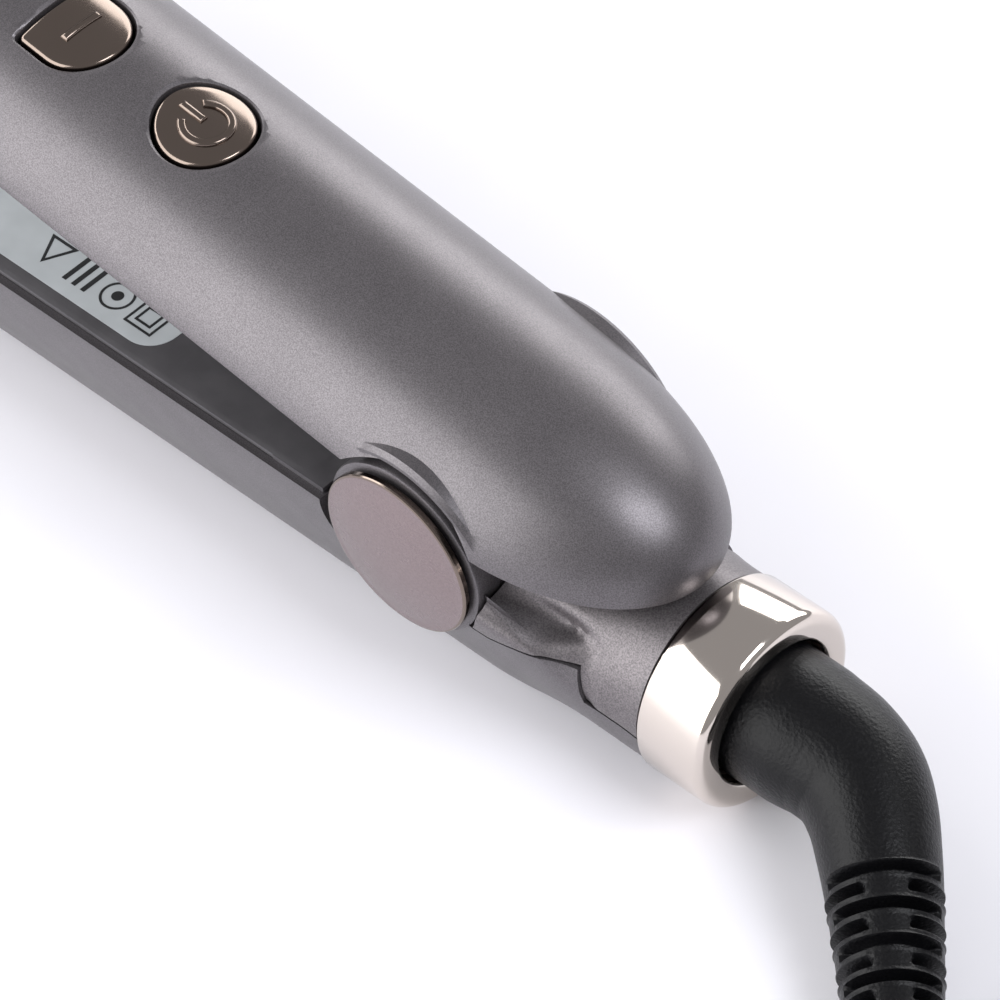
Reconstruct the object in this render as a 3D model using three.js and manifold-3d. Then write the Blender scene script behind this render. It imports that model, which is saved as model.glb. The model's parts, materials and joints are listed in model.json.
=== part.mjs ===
// A two-arm hinged hair iron. +X runs along the lower arm towards the tips, +Z is up, and the
// origin is the middle of the iron's base. Lengths are in millimetres and angles in degrees.
//
// The arms are drawn closed, in the hinge's frame, whose origin is the middle of the hinge pin.
// The upper arm is then turned up to its open stop.

import * as THREE from 'three';
import { ParametricGeometry } from 'three/addons/geometries/ParametricGeometry.js';
import { mergeVertices } from 'three/addons/utils/BufferGeometryUtils.js';
import Module from 'manifold-3d';

const wasm = await Module();
wasm.setup();

// ---------------------------------------------------------------- driving dimensions

const LENGTH = 290; // collar face to tips
const REAR_OVERHANG = 42.3; // hinge axis to the collar's rear face
const HINGE_HEIGHT = 24.6; // hinge axis above the surface the iron rests on
const OPEN_ANGLE = 8.6;
const GAP = 0.3; // between pieces that touch
const RUNNING_GAP = 0.4; // between pieces that move past each other

// Shells
const WALL = 2;
const LOWER_HALF = 17.8; // half the width of the lower handle
const UPPER_STEP = 0.3; // the upper handle is this much narrower on each side
const TIP_NARROWING = 1.9; // how much less half the width is at the tips
const LOWER_RIM = 1;
const UPPER_RIM = 9.2;
const TAIL_RIM = 7.9; // the upper shell's edge dips this low behind the hinge
const UPPER_TOP = 20.95;
const UPPER_TOP_AT_TIP = 19.4;
const LOWER_BOTTOM_AT_TIP = -9;
const SLIM_LENGTH = 62.7; // the lower arm is slim this far back from its tip
const SLOPE_LENGTH = 73; // between the belly it rests on and the slim part
const TAIL_LENGTH = 32.1; // the upper shell reaches this far behind the hinge
const CAP_LENGTH = 15; // tip caps

// Hinge
const PIN_R = 2.5;
const CHEEK_R = 12.7;
const CHEEK_INSET = 1.6; // from the lower handle's side to a cheek's outer face
const CHEEK_THICKNESS = 3.6;
const EYE_R = 7; // the bracket's eyes turn on the pin between the cheeks
const EYE_WIDTH = 5;
const BUSH_WALL = 1.4;
const HINGE_CAP_R = 11;
const CAP_THICKNESS = 1.54;
const CAP_HUB_R = 5;
const CAP_HUB_DEPTH = 1.5;
const SPRING_WIRE_R = 0.6;
const SPRING_TURNS = 4;

// Neck, collar and swivel
const NECK_CREST = 1.02; // height of the neck's top over the hinge
const NECK_END = -32.2;
const COLLAR_STEP = 0.4; // the collar stands this far out of the neck
const COLLAR_LIFT = 0.02; // from the surface the iron rests on
const COLLAR_WALL = 1;
const COLLAR_LIP = 3.7; // from the collar's outside to its mouth
const LIP_THICKNESS = 2.4;
const RELIEF_END_HEIGHT = 5.22; // its middle line where the cord leaves it
const RELIEF_GAP = 0.55; // between the collar's mouth and the strain relief
const STEM_R = 4.4;

// Controls
const POWER_X = 48.9;
const POWER_R = 6.14;
const MINUS_X = 69.8; // centre of the minus button's round end
const CONTROL_HALF = 6.1;
const KEY_FLAT = 4.5; // from the round end's centre to the flat end
const DISPLAY_LENGTH = 20;
const KEY_GAP = 6; // from a key's flat end to the display
const BUTTON_CLEARANCE = 0.45;
const BUTTON_TRAVEL = 0.5;
const WINDOW_DEPTH = 3.5; // the display window's lower face under the dome's crest

// Heating plates
const PLATE_LENGTH = 90;
const PLATE_SIDE_MARGIN = 2; // frame beside the plate
const PLATE_THICKNESS = 2;
const PLATE_FRONT_MARGIN = 4; // frame beyond each end of the plate
const PLATES_MEET = 5.2; // height of the face where the plates meet
const PLATE_GAP = 0.4;
const PLATE_PROUD = 0.8;
const FLOAT_TRAVEL = 0.6;
const HEATER_LENGTH = 62;
const HEATER_HALF = 6;
const HEATER_THICKNESS = 1.3;
const CLAMP_THICKNESS = 2.8;
const CLAMP_HALF = 8;
const CLAMP_GROOVE = 1.8; // depth of the groove that the springs and sensors sit in
const LIP_INSET = 1.2; // the frames' lips stop this far inside the shells' sides

// Insides of the handles
const TRAY_THICKNESS = 1.6;
const TRAY_STEP = 0.8; // the lower tray's face above the shell's rim
const LABEL_START = 43;
const LABEL_FRONT_MARGIN = 29.4; // from the label to the tray's front end
const LABEL_SIDE_MARGIN = 3; // from the handle's side to the label
const LABEL_RECESS = 0.35;
const LABEL_THICKNESS = 0.2;
const BOARD_THICKNESS = 1.2;
const POWER_BOARD_START = 28;
const POWER_BOARD_LENGTH = 80;
const POWER_BOARD_HALF = 11;
const POWER_BOARD_TOP = -8;
const CONTROL_BOARD_HALF = 9.5;
const CONTROL_BOARD_MARGIN = 12; // beyond the middles of the outermost buttons
const SCREW_HEAD_R = 2.4;

// Cord
const CORD_R = 3.5;
const HANK_FOLD_R = 28; // centreline of the outer turns' folds
const HANK_RUN = 62; // between the fold centres
const HANK_WAIST = 21; // outer run's distance from the hank's middle, at the tie
const HANK_LAYERS = 3;
const LAYER_STEP = 6.6;
const HANK_NEAR_FOLD = [-128.5, 11]; // the fold centre next to the iron
const PLUG_HALF = 17.65;
const PLUG_THICKNESS = 13.7;
const PLUG_BODY = 36;
const PLUG_TAIL = 20;
const PLUG_PIN_R = 2;
const PLUG_PIN_LENGTH = 19;
const PLUG_PIN_SPREAD = 9; // half the pins' spacing
const PLUG_X = -167; // where the plug's body starts
const PLUG_SHOULDER = 15; // length of the plug's tapered shoulders
const TIE_HALF = 6;
const TIE_THICKNESS = 0.9;

// ---------------------------------------------------------------- places worked out from them

const FLOOR = -HINGE_HEIGHT;
const UPPER_HALF = LOWER_HALF - UPPER_STEP;
const CHEEK_OUTER = LOWER_HALF - CHEEK_INSET; // from the middle
const CHEEK_INNER = CHEEK_OUTER - CHEEK_THICKNESS;
const HINGE_CAP_FACE = CHEEK_OUTER + GAP + CAP_THICKNESS;
const BESIDE = LOWER_HALF + 2.2; // clear of the iron's sides
const TIP = LENGTH - REAR_OVERHANG;
const SHELL_END = TIP - CAP_LENGTH;
const SLIM_START = TIP - SLIM_LENGTH;
const BELLY_END = SLIM_START - SLOPE_LENGTH; // the lower arm rests on its belly back from here
const NECK_R = (NECK_CREST - FLOOR - COLLAR_STEP - COLLAR_LIFT) / 2;
const COLLAR_R = NECK_R + COLLAR_STEP;
const COLLAR_MOUTH_R = COLLAR_R - COLLAR_LIP;
const RELIEF_ROOT_R = COLLAR_MOUTH_R - RELIEF_GAP;
const NECK_AXIS = FLOOR + COLLAR_LIFT + COLLAR_R;
const FRAME_HALF = UPPER_HALF - TIP_NARROWING - LIP_INSET;
const PLATE_HALF = FRAME_HALF - PLATE_SIDE_MARGIN;
const PLATE_END = SHELL_END - PLATE_FRONT_MARGIN;
const PLATE_START = PLATE_END - PLATE_LENGTH;
const PLATE_MIDDLE = (PLATE_START + PLATE_END) / 2;
const FRAME_START = PLATE_START - PLATE_FRONT_MARGIN;
const TRAY_START = CHEEK_R + 2;
const TRAY_END = FRAME_START - GAP;
const TRAY_TOP = LOWER_RIM + TRAY_STEP;
const LABEL_HALF = LOWER_HALF - LABEL_SIDE_MARGIN;
const DISPLAY_START = MINUS_X + KEY_FLAT + KEY_GAP;
const DISPLAY_END = DISPLAY_START + DISPLAY_LENGTH;
const PLUS_X = DISPLAY_END + KEY_GAP + KEY_FLAT;
const BOARD_TOP = UPPER_TOP - 7.75;
const SWITCH_TOP = UPPER_TOP - 4.45;
const KEY_BOTTOM = SWITCH_TOP + BUTTON_TRAVEL + GAP;
const FRAME_FACE = PLATES_MEET + PLATE_GAP / 2 + PLATE_PROUD;
const STACK_LOW = PLATES_MEET + PLATE_GAP / 2; // the upper plate's face
const HEATER_LOW = STACK_LOW + PLATE_THICKNESS + GAP;
const CLAMP_LOW = HEATER_LOW + HEATER_THICKNESS + GAP;
const STACK_TOP = CLAMP_LOW + CLAMP_THICKNESS;
const POCKET_TOP = STACK_TOP + FLOAT_TRAVEL + 0.2;
const UPPER_NOSE = [FRAME_FACE, UPPER_RIM + 0.5]; // the tip caps' flat noses
const LOWER_NOSE = [LOWER_RIM - 0.5, 2 * PLATES_MEET - FRAME_FACE];
const TOWER_TOP = POCKET_TOP + 2.6;

// ---------------------------------------------------------------- shapes

const lerp = THREE.MathUtils.lerp;
const smooth = THREE.MathUtils.smoothstep;

/** A closed geometry as a solid that can be cut and joined. */
function solidOf(geometry) {
  const bare = geometry.clone();
  bare.deleteAttribute('normal');
  bare.deleteAttribute('uv');
  const merged = mergeVertices(bare, 1e-4);
  const corners = merged.index.array;
  const kept = [];
  for (let i = 0; i < corners.length; i += 3) {
    const [a, b, c] = corners.slice(i, i + 3);
    if (a !== b && b !== c && c !== a) {
      kept.push(a, b, c);
    }
  }
  return new wasm.Manifold(
    new wasm.Mesh({
      numProp: 3,
      vertProperties: Float32Array.from(merged.attributes.position.array),
      triVerts: Uint32Array.from(kept),
    }),
  );
}

function geometryOf(solid) {
  const mesh = solid.getMesh();
  const geometry = new THREE.BufferGeometry();
  geometry.setAttribute('position', new THREE.BufferAttribute(mesh.vertProperties, 3));
  geometry.setIndex(new THREE.BufferAttribute(mesh.triVerts, 1));
  return geometry;
}

function block([x0, x1], [y0, y1], [z0, z1]) {
  const box = new THREE.BoxGeometry(x1 - x0, y1 - y0, z1 - z0);
  return solidOf(box.translate((x0 + x1) / 2, (y0 + y1) / 2, (z0 + z1) / 2));
}

/** A cylinder along X, Y or Z, from low to high, through the other two coordinates. */
function cylinder(axis, radius, low, high, centre = [0, 0], sides = 32) {
  const shape = new THREE.CylinderGeometry(radius, radius, high - low, sides);
  const middle = (low + high) / 2;
  if (axis === 'x') {
    return solidOf(shape.rotateZ(-Math.PI / 2).translate(middle, ...centre));
  }
  if (axis === 'y') {
    return solidOf(shape.translate(centre[0], middle, centre[1]));
  }
  return solidOf(shape.rotateX(Math.PI / 2).translate(...centre, middle));
}

/** A turned form, from [radius, height] pairs, which run anticlockwise so that it faces outwards. */
function lathed(profile, sides) {
  const points = profile.map(point2);
  const outward = THREE.ShapeUtils.isClockWise(points) ? points.toReversed() : points;
  return new THREE.LatheGeometry(outward, sides);
}

/** A solid turned about a line along X: the profile is [radius, x] pairs. */
function turnedX(profile, height, sides = 32, y = 0) {
  return solidOf(lathed(profile, sides).rotateZ(-Math.PI / 2).translate(0, y, height));
}

/** A solid turned about the hinge axis: the profile is [radius, y] pairs. */
function turnedY(profile, sides = 32) {
  return solidOf(lathed(profile, sides));
}

/** An outline seen from above, [x, y] pairs or a Shape, given a height. */
function slab(outline, [z0, z1], curveSegments = 5) {
  const shape = outline instanceof THREE.Shape ? outline : new THREE.Shape(outline.map(point2));
  const extruded = new THREE.ExtrudeGeometry(shape, {
    depth: z1 - z0,
    bevelEnabled: false,
    curveSegments,
  });
  return solidOf(extruded.translate(0, 0, z0));
}

/** An outline seen from the near side, [x, z] pairs, given a width about the middle. */
function sideCut(outline, halfWidth) {
  const shape = new THREE.Shape(outline.map(point2));
  const extruded = new THREE.ExtrudeGeometry(shape, { depth: 2 * halfWidth, bevelEnabled: false });
  return solidOf(extruded.rotateX(Math.PI / 2).translate(0, halfWidth, 0));
}

function point2([a, b]) {
  return new THREE.Vector2(a, b);
}

function roundedRect([x0, x1], half, corner) {
  const shape = new THREE.Shape();
  shape.moveTo(x0 + corner, -half);
  shape.lineTo(x1 - corner, -half);
  shape.absarc(x1 - corner, -half + corner, corner, -Math.PI / 2, 0, false);
  shape.absarc(x1 - corner, half - corner, corner, 0, Math.PI / 2, false);
  shape.absarc(x0 + corner, half - corner, corner, Math.PI / 2, Math.PI, false);
  shape.absarc(x0 + corner, -half + corner, corner, Math.PI, 1.5 * Math.PI, false);
  return shape;
}

/** A closed body through cross-sections along X: section(x, v) is [y, z], once round for v 0 to 1. */
function loft(stations, section, around = AROUND) {
  const rows = stations.length + 1;
  const surface = (v, u, target) => {
    const row = Math.round(u * rows);
    const x = stations[THREE.MathUtils.clamp(row - 1, 0, stations.length - 1)];
    if (row === 0 || row === rows) {
      const heights = [section(x, 0)[1], section(x, 0.25)[1]];
      target.set(x, 0, (heights[0] + heights[1]) / 2);
    } else {
      const [y, z] = section(x, v === 1 ? 0 : v);
      target.set(x, y, z);
    }
  };
  return outward(solidOf(new ParametricGeometry(surface, around, rows)), surface, around, rows);
}

function outward(solid, surface, around, rows) {
  if (solid.volume() > 0) {
    return solid;
  }
  const reversed = (v, u, target) => surface(1 - v, u, target);
  return solidOf(new ParametricGeometry(reversed, around, rows));
}

/** A round body of changing thickness along a curve. */
function taperedTube(curve, radiusAt, steps, sides) {
  const frames = curve.computeFrenetFrames(steps, false);
  const rows = steps + 2;
  const surface = (v, u, target) => {
    const row = Math.round(u * rows);
    const i = THREE.MathUtils.clamp(row - 1, 0, steps);
    const radius = row === 0 || row === rows ? 0 : radiusAt(i / steps);
    const angle = 2 * Math.PI * (v === 1 ? 0 : v);
    curve.getPointAt(i / steps, target);
    target.addScaledVector(frames.normals[i], radius * Math.cos(angle));
    target.addScaledVector(frames.binormals[i], radius * Math.sin(angle));
  };
  return outward(solidOf(new ParametricGeometry(surface, sides, rows)), surface, sides, rows);
}

function polygonShape(radius, sides) {
  const corners = Array.from({ length: sides }, (_, i) => {
    const angle = (2 * Math.PI * i) / sides;
    return new THREE.Vector2(radius * Math.cos(angle), radius * Math.sin(angle));
  });
  return new THREE.Shape(corners);
}

function tube(curve, radius, steps, sides) {
  return solidOf(
    new THREE.ExtrudeGeometry(polygonShape(radius, sides), { steps, extrudePath: curve }),
  );
}

function curveThrough(points) {
  return new THREE.CatmullRomCurve3(points.map((p) => new THREE.Vector3(...p)));
}

function joined(solids) {
  return solids.reduce((sum, solid) => sum.add(solid));
}

function spaced(from, to, steps) {
  return Array.from({ length: steps + 1 }, (_, i) => lerp(from, to, i / steps));
}

// ---------------------------------------------------------------- the arms' outer forms

const AROUND = 20; // sides of each section

/** The lower arm's flank, from its rim to its rest land, in shares of half width and depth. */
const FLANK = new THREE.CubicBezierCurve(
  new THREE.Vector2(1, 0),
  new THREE.Vector2(1, 0.2),
  new THREE.Vector2(0.62, 1),
  new THREE.Vector2(0.34, 1),
).getPoints(6);
const UNDERSIDE = [
  ...FLANK,
  ...FLANK.toReversed().map(({ x, y }) => new THREE.Vector2(-x, y)),
];

function halfNarrowing(x) {
  return TIP_NARROWING * smooth(x, BELLY_END, TIP);
}

function lowerBottom(x) {
  return lerp(FLOOR, LOWER_BOTTOM_AT_TIP, smooth(x, BELLY_END, SLIM_START));
}

/**
 * The lower arm's section, inset by a wall: an egg with a flat rest land under a flat rim, which
 * turns into the round neck behind the hinge.
 */
function lowerSection(inset) {
  return (x, v) => {
    const side = Math.round(v * AROUND);
    const half = LOWER_HALF - halfNarrowing(x) - inset;
    const depth = LOWER_RIM - lowerBottom(x) - inset;
    const under = side < UNDERSIDE.length;
    const across = under ? 0 : (side - UNDERSIDE.length + 1) / (AROUND - UNDERSIDE.length + 1);
    const tub = under
      ? [half * UNDERSIDE[side].x, LOWER_RIM - depth * UNDERSIDE[side].y]
      : [half * (2 * across - 1), LOWER_RIM + (x < -8 ? -inset : inset)];
    const angle = under
      ? (-Math.PI * side) / (UNDERSIDE.length - 1)
      : Math.PI * (1 - across);
    const radius = NECK_R - inset;
    const neck = [radius * Math.cos(angle), NECK_AXIS + radius * Math.sin(angle)];
    const share = 1 - smooth(x, NECK_END + 2, -7);
    return [lerp(tub[0], neck[0], share), lerp(tub[1], neck[1], share)];
  };
}

/** How much of its full section the upper shell's tail still has at x. */
function tailShare(x, inset) {
  const t = THREE.MathUtils.clamp(-x / (TAIL_LENGTH - inset), 0, 1);
  return Math.sqrt(1 - t ** 2.3);
}

function upperRim(x) {
  return lerp(TAIL_RIM, UPPER_RIM, smooth(x, -14, 2));
}

/** The upper arm's section, inset by a wall: an arc over a flat rim. */
function upperSection(inset) {
  const arcSides = 14;
  return (x, v) => {
    const side = Math.round(v * AROUND);
    const share = tailShare(x, inset);
    const rim = upperRim(x);
    const top = lerp(UPPER_TOP, UPPER_TOP_AT_TIP, smooth(x, BELLY_END, TIP));
    const half = (UPPER_HALF - halfNarrowing(x) - inset) * share;
    const height = (top - rim - inset) * share;
    if (side > arcSides) {
      const across = (side - arcSides) / (AROUND - arcSides);
      return [half * (2 * across - 1), rim - inset];
    }
    const radius = (half * half + height * height) / (2 * height);
    const angle = lerp(1, -1, side / arcSides) * Math.asin(half / radius);
    return [radius * Math.sin(angle), rim + height - radius + radius * Math.cos(angle)];
  };
}

const NECK_STATIONS = spaced(NECK_END, -7, 6);
const HANDLE_STATIONS = [10, BELLY_END];
const SLOPE_STATIONS = spaced(BELLY_END, SLIM_START, 5).slice(1);
const FRONT_STATIONS = [(SLIM_START + SHELL_END) / 2];
const TAIL_STATIONS = [0.999, 0.98, 0.93, 0.83, 0.68, 0.48, 0.25];

function lowerForm(inset, rear, front) {
  const between = [...NECK_STATIONS, ...HANDLE_STATIONS, ...SLOPE_STATIONS, ...FRONT_STATIONS];
  const stations = [rear, ...between.filter((x) => x > rear && x < front), front];
  return loft(stations, lowerSection(inset));
}

function upperForm(inset, front) {
  const tail = TAIL_STATIONS.map((share) => -share * (TAIL_LENGTH - inset));
  const between = [2, ...HANDLE_STATIONS, ...SLOPE_STATIONS, ...FRONT_STATIONS];
  return loft([...tail, ...between.filter((x) => x < front), front], upperSection(inset));
}

/** Everything below the stepped seam between the lower shell and the neck housing. */
function belowSeam(drop) {
  return sideCut(
    [
      [NECK_END - 20, FLOOR - 5],
      [SHELL_END + 5, FLOOR - 5],
      [SHELL_END + 5, CHEEK_R + 5],
      [-9.8, CHEEK_R + 5],
      [-9.8, NECK_AXIS + 5.2 - drop],
      [-23.7, NECK_AXIS + 5.2 - drop],
      [-24.7, NECK_AXIS + 0.45 - drop],
      [NECK_END, NECK_AXIS - 0.8 - drop],
      [NECK_END - 20, NECK_AXIS - 0.8 - drop],
    ],
    LOWER_HALF + 5,
  );
}

// ---------------------------------------------------------------- lower arm

/** The stepped-down end of the neck that the collar is pushed over. */
function neckSpigot() {
  return cylinder('x', NECK_R - COLLAR_WALL, NECK_END - 7.5, NECK_END + 2, [0, NECK_AXIS]);
}

/** The hollow that runs through the neck and the lower handle. */
function lowerHollow() {
  const mouth = cylinder('x', NECK_R - COLLAR_WALL - WALL, NECK_END - 9, NECK_END + 4, [0, NECK_AXIS]);
  return joined([lowerForm(WALL, NECK_END + 1, SHELL_END - WALL), mouth]);
}

function lowerBody() {
  return joined([lowerForm(0, NECK_END, SHELL_END), neckSpigot()]);
}

/** Two cheeks that stand up from the lower shell and hold the hinge pin's ends. */
function cheeks() {
  const both = [
    cylinder('y', CHEEK_R, CHEEK_INNER, CHEEK_OUTER),
    cylinder('y', CHEEK_R, -CHEEK_OUTER, -CHEEK_INNER),
  ];
  return joined(both);
}

function lowerOuterShell() {
  const capSeats = [
    cylinder('y', CHEEK_R + GAP, CHEEK_OUTER, BESIDE),
    cylinder('y', CHEEK_R + GAP, -BESIDE, -CHEEK_OUTER),
  ];
  const pinBore = cylinder('y', PIN_R + GAP, -BESIDE, BESIDE);
  const hubBores = [
    cylinder('y', CAP_HUB_R + GAP, CHEEK_OUTER - CAP_HUB_DEPTH, BESIDE),
    cylinder('y', CAP_HUB_R + GAP, -BESIDE, CAP_HUB_DEPTH - CHEEK_OUTER),
  ];
  const shell = lowerBody().intersect(belowSeam(GAP / 2)).subtract(lowerHollow());
  return shell.add(cheeks()).subtract(joined([pinBore, ...capSeats, ...hubBores]));
}

function neckHousing() {
  const above = lowerBody().subtract(belowSeam(-GAP / 2));
  const hingeRoom = cylinder('y', CHEEK_R + GAP, -BESIDE, BESIDE);
  return above.subtract(joined([lowerHollow(), hingeRoom]));
}

function labelOutline(margin) {
  const span = [LABEL_START - margin, TRAY_END - LABEL_FRONT_MARGIN + margin];
  return roundedRect(span, LABEL_HALF + margin, 4);
}

function lowerInnerTray() {
  const span = [TRAY_START, TRAY_END];
  const plate = slab(
    roundedRect(span, LOWER_HALF - WALL - 2 * GAP, 3),
    [TRAY_TOP - TRAY_THICKNESS, TRAY_TOP],
  );
  const lip = slab(roundedRect(span, LOWER_HALF - 1, 3), [LOWER_RIM + GAP, TRAY_TOP]);
  const recess = slab(labelOutline(GAP), [TRAY_TOP - LABEL_RECESS - GAP, TRAY_TOP + 1]);
  return plate.add(lip).subtract(recess);
}

function ratingLabel() {
  const low = TRAY_TOP - LABEL_RECESS;
  return slab(labelOutline(0), [low, low + LABEL_THICKNESS]);
}

function collarRing() {
  const rear = -REAR_OVERHANG;
  const bore = NECK_R - COLLAR_WALL + GAP;
  const profile = [
    [bore, NECK_END - GAP],
    [COLLAR_R - 0.3, NECK_END - GAP],
    [COLLAR_R, NECK_END - GAP - 0.3],
    [COLLAR_R, rear + 1.6],
    [COLLAR_R - 0.5, rear + 0.5],
    [COLLAR_R - 1.6, rear],
    [COLLAR_MOUTH_R + 0.8, rear],
    [COLLAR_MOUTH_R, rear + 0.8],
    [COLLAR_MOUTH_R, rear + LIP_THICKNESS],
    [bore, rear + LIP_THICKNESS],
  ];
  return turnedX([...profile, profile[0]], NECK_AXIS);
}

/** The bearing that the cord's swivel turns in, held in the neck. */
function swivelSocket() {
  const outer = NECK_R - WALL - 2 * GAP;
  const bore = STEM_R + RUNNING_GAP;
  const front = NECK_END + 12;
  const profile = [
    [bore, NECK_END + 4],
    [outer, NECK_END + 4],
    [outer, NECK_END + 7],
    [bore + 2, front],
    [bore, front],
  ];
  return turnedX([...profile, profile[0]], NECK_AXIS, 28);
}

function hingeCap(side) {
  const back = CHEEK_OUTER + GAP;
  const face = HINGE_CAP_FACE;
  const profile = [
    [0, back - CAP_HUB_DEPTH],
    [CAP_HUB_R, back - CAP_HUB_DEPTH],
    [CAP_HUB_R, back],
    [HINGE_CAP_R - 0.3, back],
    [HINGE_CAP_R, back + 0.3],
    [HINGE_CAP_R - 0.1, face - 0.7],
    [HINGE_CAP_R - 1.3, face - 0.25],
    [HINGE_CAP_R - 4, face - 0.05],
    [0, face],
  ];
  return turnedY(profile.map(([r, y]) => [r, side * y]));
}

function hingePin() {
  return cylinder('y', PIN_R, -CHEEK_OUTER + 2, CHEEK_OUTER - 2, [0, 0], 28);
}

function hingeBush(side) {
  const inner = side * (CHEEK_INNER - 4.6);
  const outer = side * (CHEEK_INNER - RUNNING_GAP);
  const [low, high] = side > 0 ? [inner, outer] : [outer, inner];
  const sleeve = cylinder('y', PIN_R + GAP / 2 + BUSH_WALL, low, high, [0, 0], 28);
  return sleeve.subtract(cylinder('y', PIN_R + GAP / 2, low - 1, high + 1, [0, 0], 28));
}

/** A torsion spring wound loosely round the pin, with a leg to each arm. */
function openingSpring() {
  const coilR = PIN_R + 2;
  const halfWidth = 4.5;
  const points = spaced(0, 1, SPRING_TURNS * 10).map((t) => {
    const angle = Math.PI * (2 * SPRING_TURNS * t - 0.5);
    return [coilR * Math.cos(angle), lerp(-halfWidth, halfWidth, t), coilR * Math.sin(angle)];
  });
  const lowerLeg = [TRAY_START - 0.7, -halfWidth, -coilR - 0.6];
  const upperLeg = [TRAY_START - 0.7, halfWidth, -coilR + 1.4];
  return tube(curveThrough([lowerLeg, ...points, upperLeg]), SPRING_WIRE_R, 64, 5);
}

/** The tray a heating plate sits in, drawn for the upper arm: lip down, body up. */
function plateFrame(springTowers) {
  const span = [FRAME_START, SHELL_END - GAP];
  const lip = slab(roundedRect(span, FRAME_HALF, 3), [FRAME_FACE, UPPER_RIM - GAP]);
  const body = block([span[0] + 1, span[1] - 3], [-CLAMP_HALF - 1.2, CLAMP_HALF + 1.2], [
    UPPER_RIM - 1,
    POCKET_TOP + 0.8,
  ]);
  const room = RUNNING_GAP;
  const plateRoom = block(
    [PLATE_START - room, PLATE_END + room],
    [-PLATE_HALF - room, PLATE_HALF + room],
    [FRAME_FACE - 1, HEATER_LOW - GAP + FLOAT_TRAVEL + 0.1],
  );
  const stackRoom = block(
    [PLATE_START + 8, PLATE_END - 8],
    [-CLAMP_HALF - room, CLAMP_HALF + room],
    [FRAME_FACE, POCKET_TOP],
  );
  const frame = lip.add(body).subtract(plateRoom).subtract(stackRoom);
  if (!springTowers) {
    return frame;
  }
  return springPlaces().reduce((whole, x) => {
    const tower = cylinder('z', 3.4, POCKET_TOP, TOWER_TOP, [x, 0], 16);
    const bore = cylinder('z', 2.7, POCKET_TOP - 2, TOWER_TOP - 0.8, [x, 0], 16);
    return whole.add(tower).subtract(bore);
  }, frame);
}

function springPlaces() {
  return [PLATE_START + 22, PLATE_END - 22];
}

/** The plate that presses on the hair, drawn for the upper arm: rounded along its long edges. */
function heatingPlate() {
  const round = 1.2;
  const half = PLATE_HALF;
  const back = STACK_LOW + PLATE_THICKNESS;
  const turn = STACK_LOW + round;
  const section = new THREE.Shape();
  section.moveTo(back, -half);
  section.lineTo(back, half);
  section.lineTo(turn, half);
  section.absarc(turn, half - round, round, Math.PI / 2, Math.PI, false);
  section.absarc(turn, -half + round, round, Math.PI, 1.5 * Math.PI, false);
  const bar = new THREE.ExtrudeGeometry(section, {
    depth: PLATE_LENGTH,
    bevelEnabled: false,
    curveSegments: 3,
  });
  const axes = new THREE.Matrix4().makeBasis(
    new THREE.Vector3(0, 0, 1),
    new THREE.Vector3(0, 1, 0),
    new THREE.Vector3(-1, 0, 0),
  );
  return solidOf(bar.applyMatrix4(axes).translate(PLATE_END, 0, 0));
}

function heaterStrip() {
  return block(
    [PLATE_MIDDLE - HEATER_LENGTH / 2, PLATE_MIDDLE + HEATER_LENGTH / 2],
    [-HEATER_HALF, HEATER_HALF],
    [HEATER_LOW, HEATER_LOW + HEATER_THICKNESS],
  );
}

function heaterClamp() {
  const span = [PLATE_START + 9, PLATE_END - 9];
  const bar = block(span, [-CLAMP_HALF, CLAMP_HALF], [CLAMP_LOW, STACK_TOP]);
  const groove = block([0, TIP], [-3, 3], [STACK_TOP - CLAMP_GROOVE, STACK_TOP + 1]);
  return bar.subtract(groove);
}

function plateSpring(x) {
  const wire = 0.35;
  const turns = 4;
  const low = STACK_TOP - CLAMP_GROOVE + wire + GAP;
  const high = TOWER_TOP - 0.8 - wire - GAP;
  const points = spaced(0, 1, turns * 8).map((t) => {
    const angle = 2 * Math.PI * turns * t;
    return [x + 2 * Math.cos(angle), 2 * Math.sin(angle), lerp(low, high, t)];
  });
  return tube(curveThrough(points), wire, 44, 5);
}

/** A rounded cap on an arm's front: the arm's own section drawn in, and a nose level with the frame. */
function tipCap(section, rim, noseHeights) {
  const reach = CAP_LENGTH - GAP;
  const rounded = (x, v) => {
    const left = Math.sqrt(1 - ((x - SHELL_END - GAP) / reach) ** 2.4);
    const [y, z] = section(SHELL_END, v);
    return [y * left, rim + (z - rim) * left];
  };
  const stations = [0, 0.25, 0.45, 0.62, 0.76, 0.87, 0.95, 1].map(
    (share) => SHELL_END + GAP + share * reach,
  );
  const nosePlan = roundedRect([SHELL_END + GAP, TIP - 0.8], FRAME_HALF, 6);
  return loft(stations, rounded).add(slab(nosePlan, noseHeights));
}

/** A piece of the upper arm turned over to serve in the lower arm. */
function turnedOver(solid) {
  const geometry = geometryOf(solid).scale(1, 1, -1).translate(0, 0, 2 * PLATES_MEET);
  geometry.index.array.reverse();
  return solidOf(geometry);
}

/** A slotted screw on the arm's middle line, its axis along Z, its head up at the given height. */
function screw(x, headTop, length) {
  const profile = [
    [0, headTop - length],
    [1.1, headTop - length + 1],
    [1.1, headTop - 1.5],
    [SCREW_HEAD_R, headTop - 1.2],
    [SCREW_HEAD_R, headTop],
    [0, headTop],
  ];
  const turned = solidOf(lathed(profile, 14).rotateX(Math.PI / 2).translate(x, 0, 0));
  const slot = block([x - 1.6, x + 1.6], [-0.3, 0.3], [headTop - 0.6, headTop + 1]);
  return turned.subtract(slot);
}

// ---------------------------------------------------------------- upper arm

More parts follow.
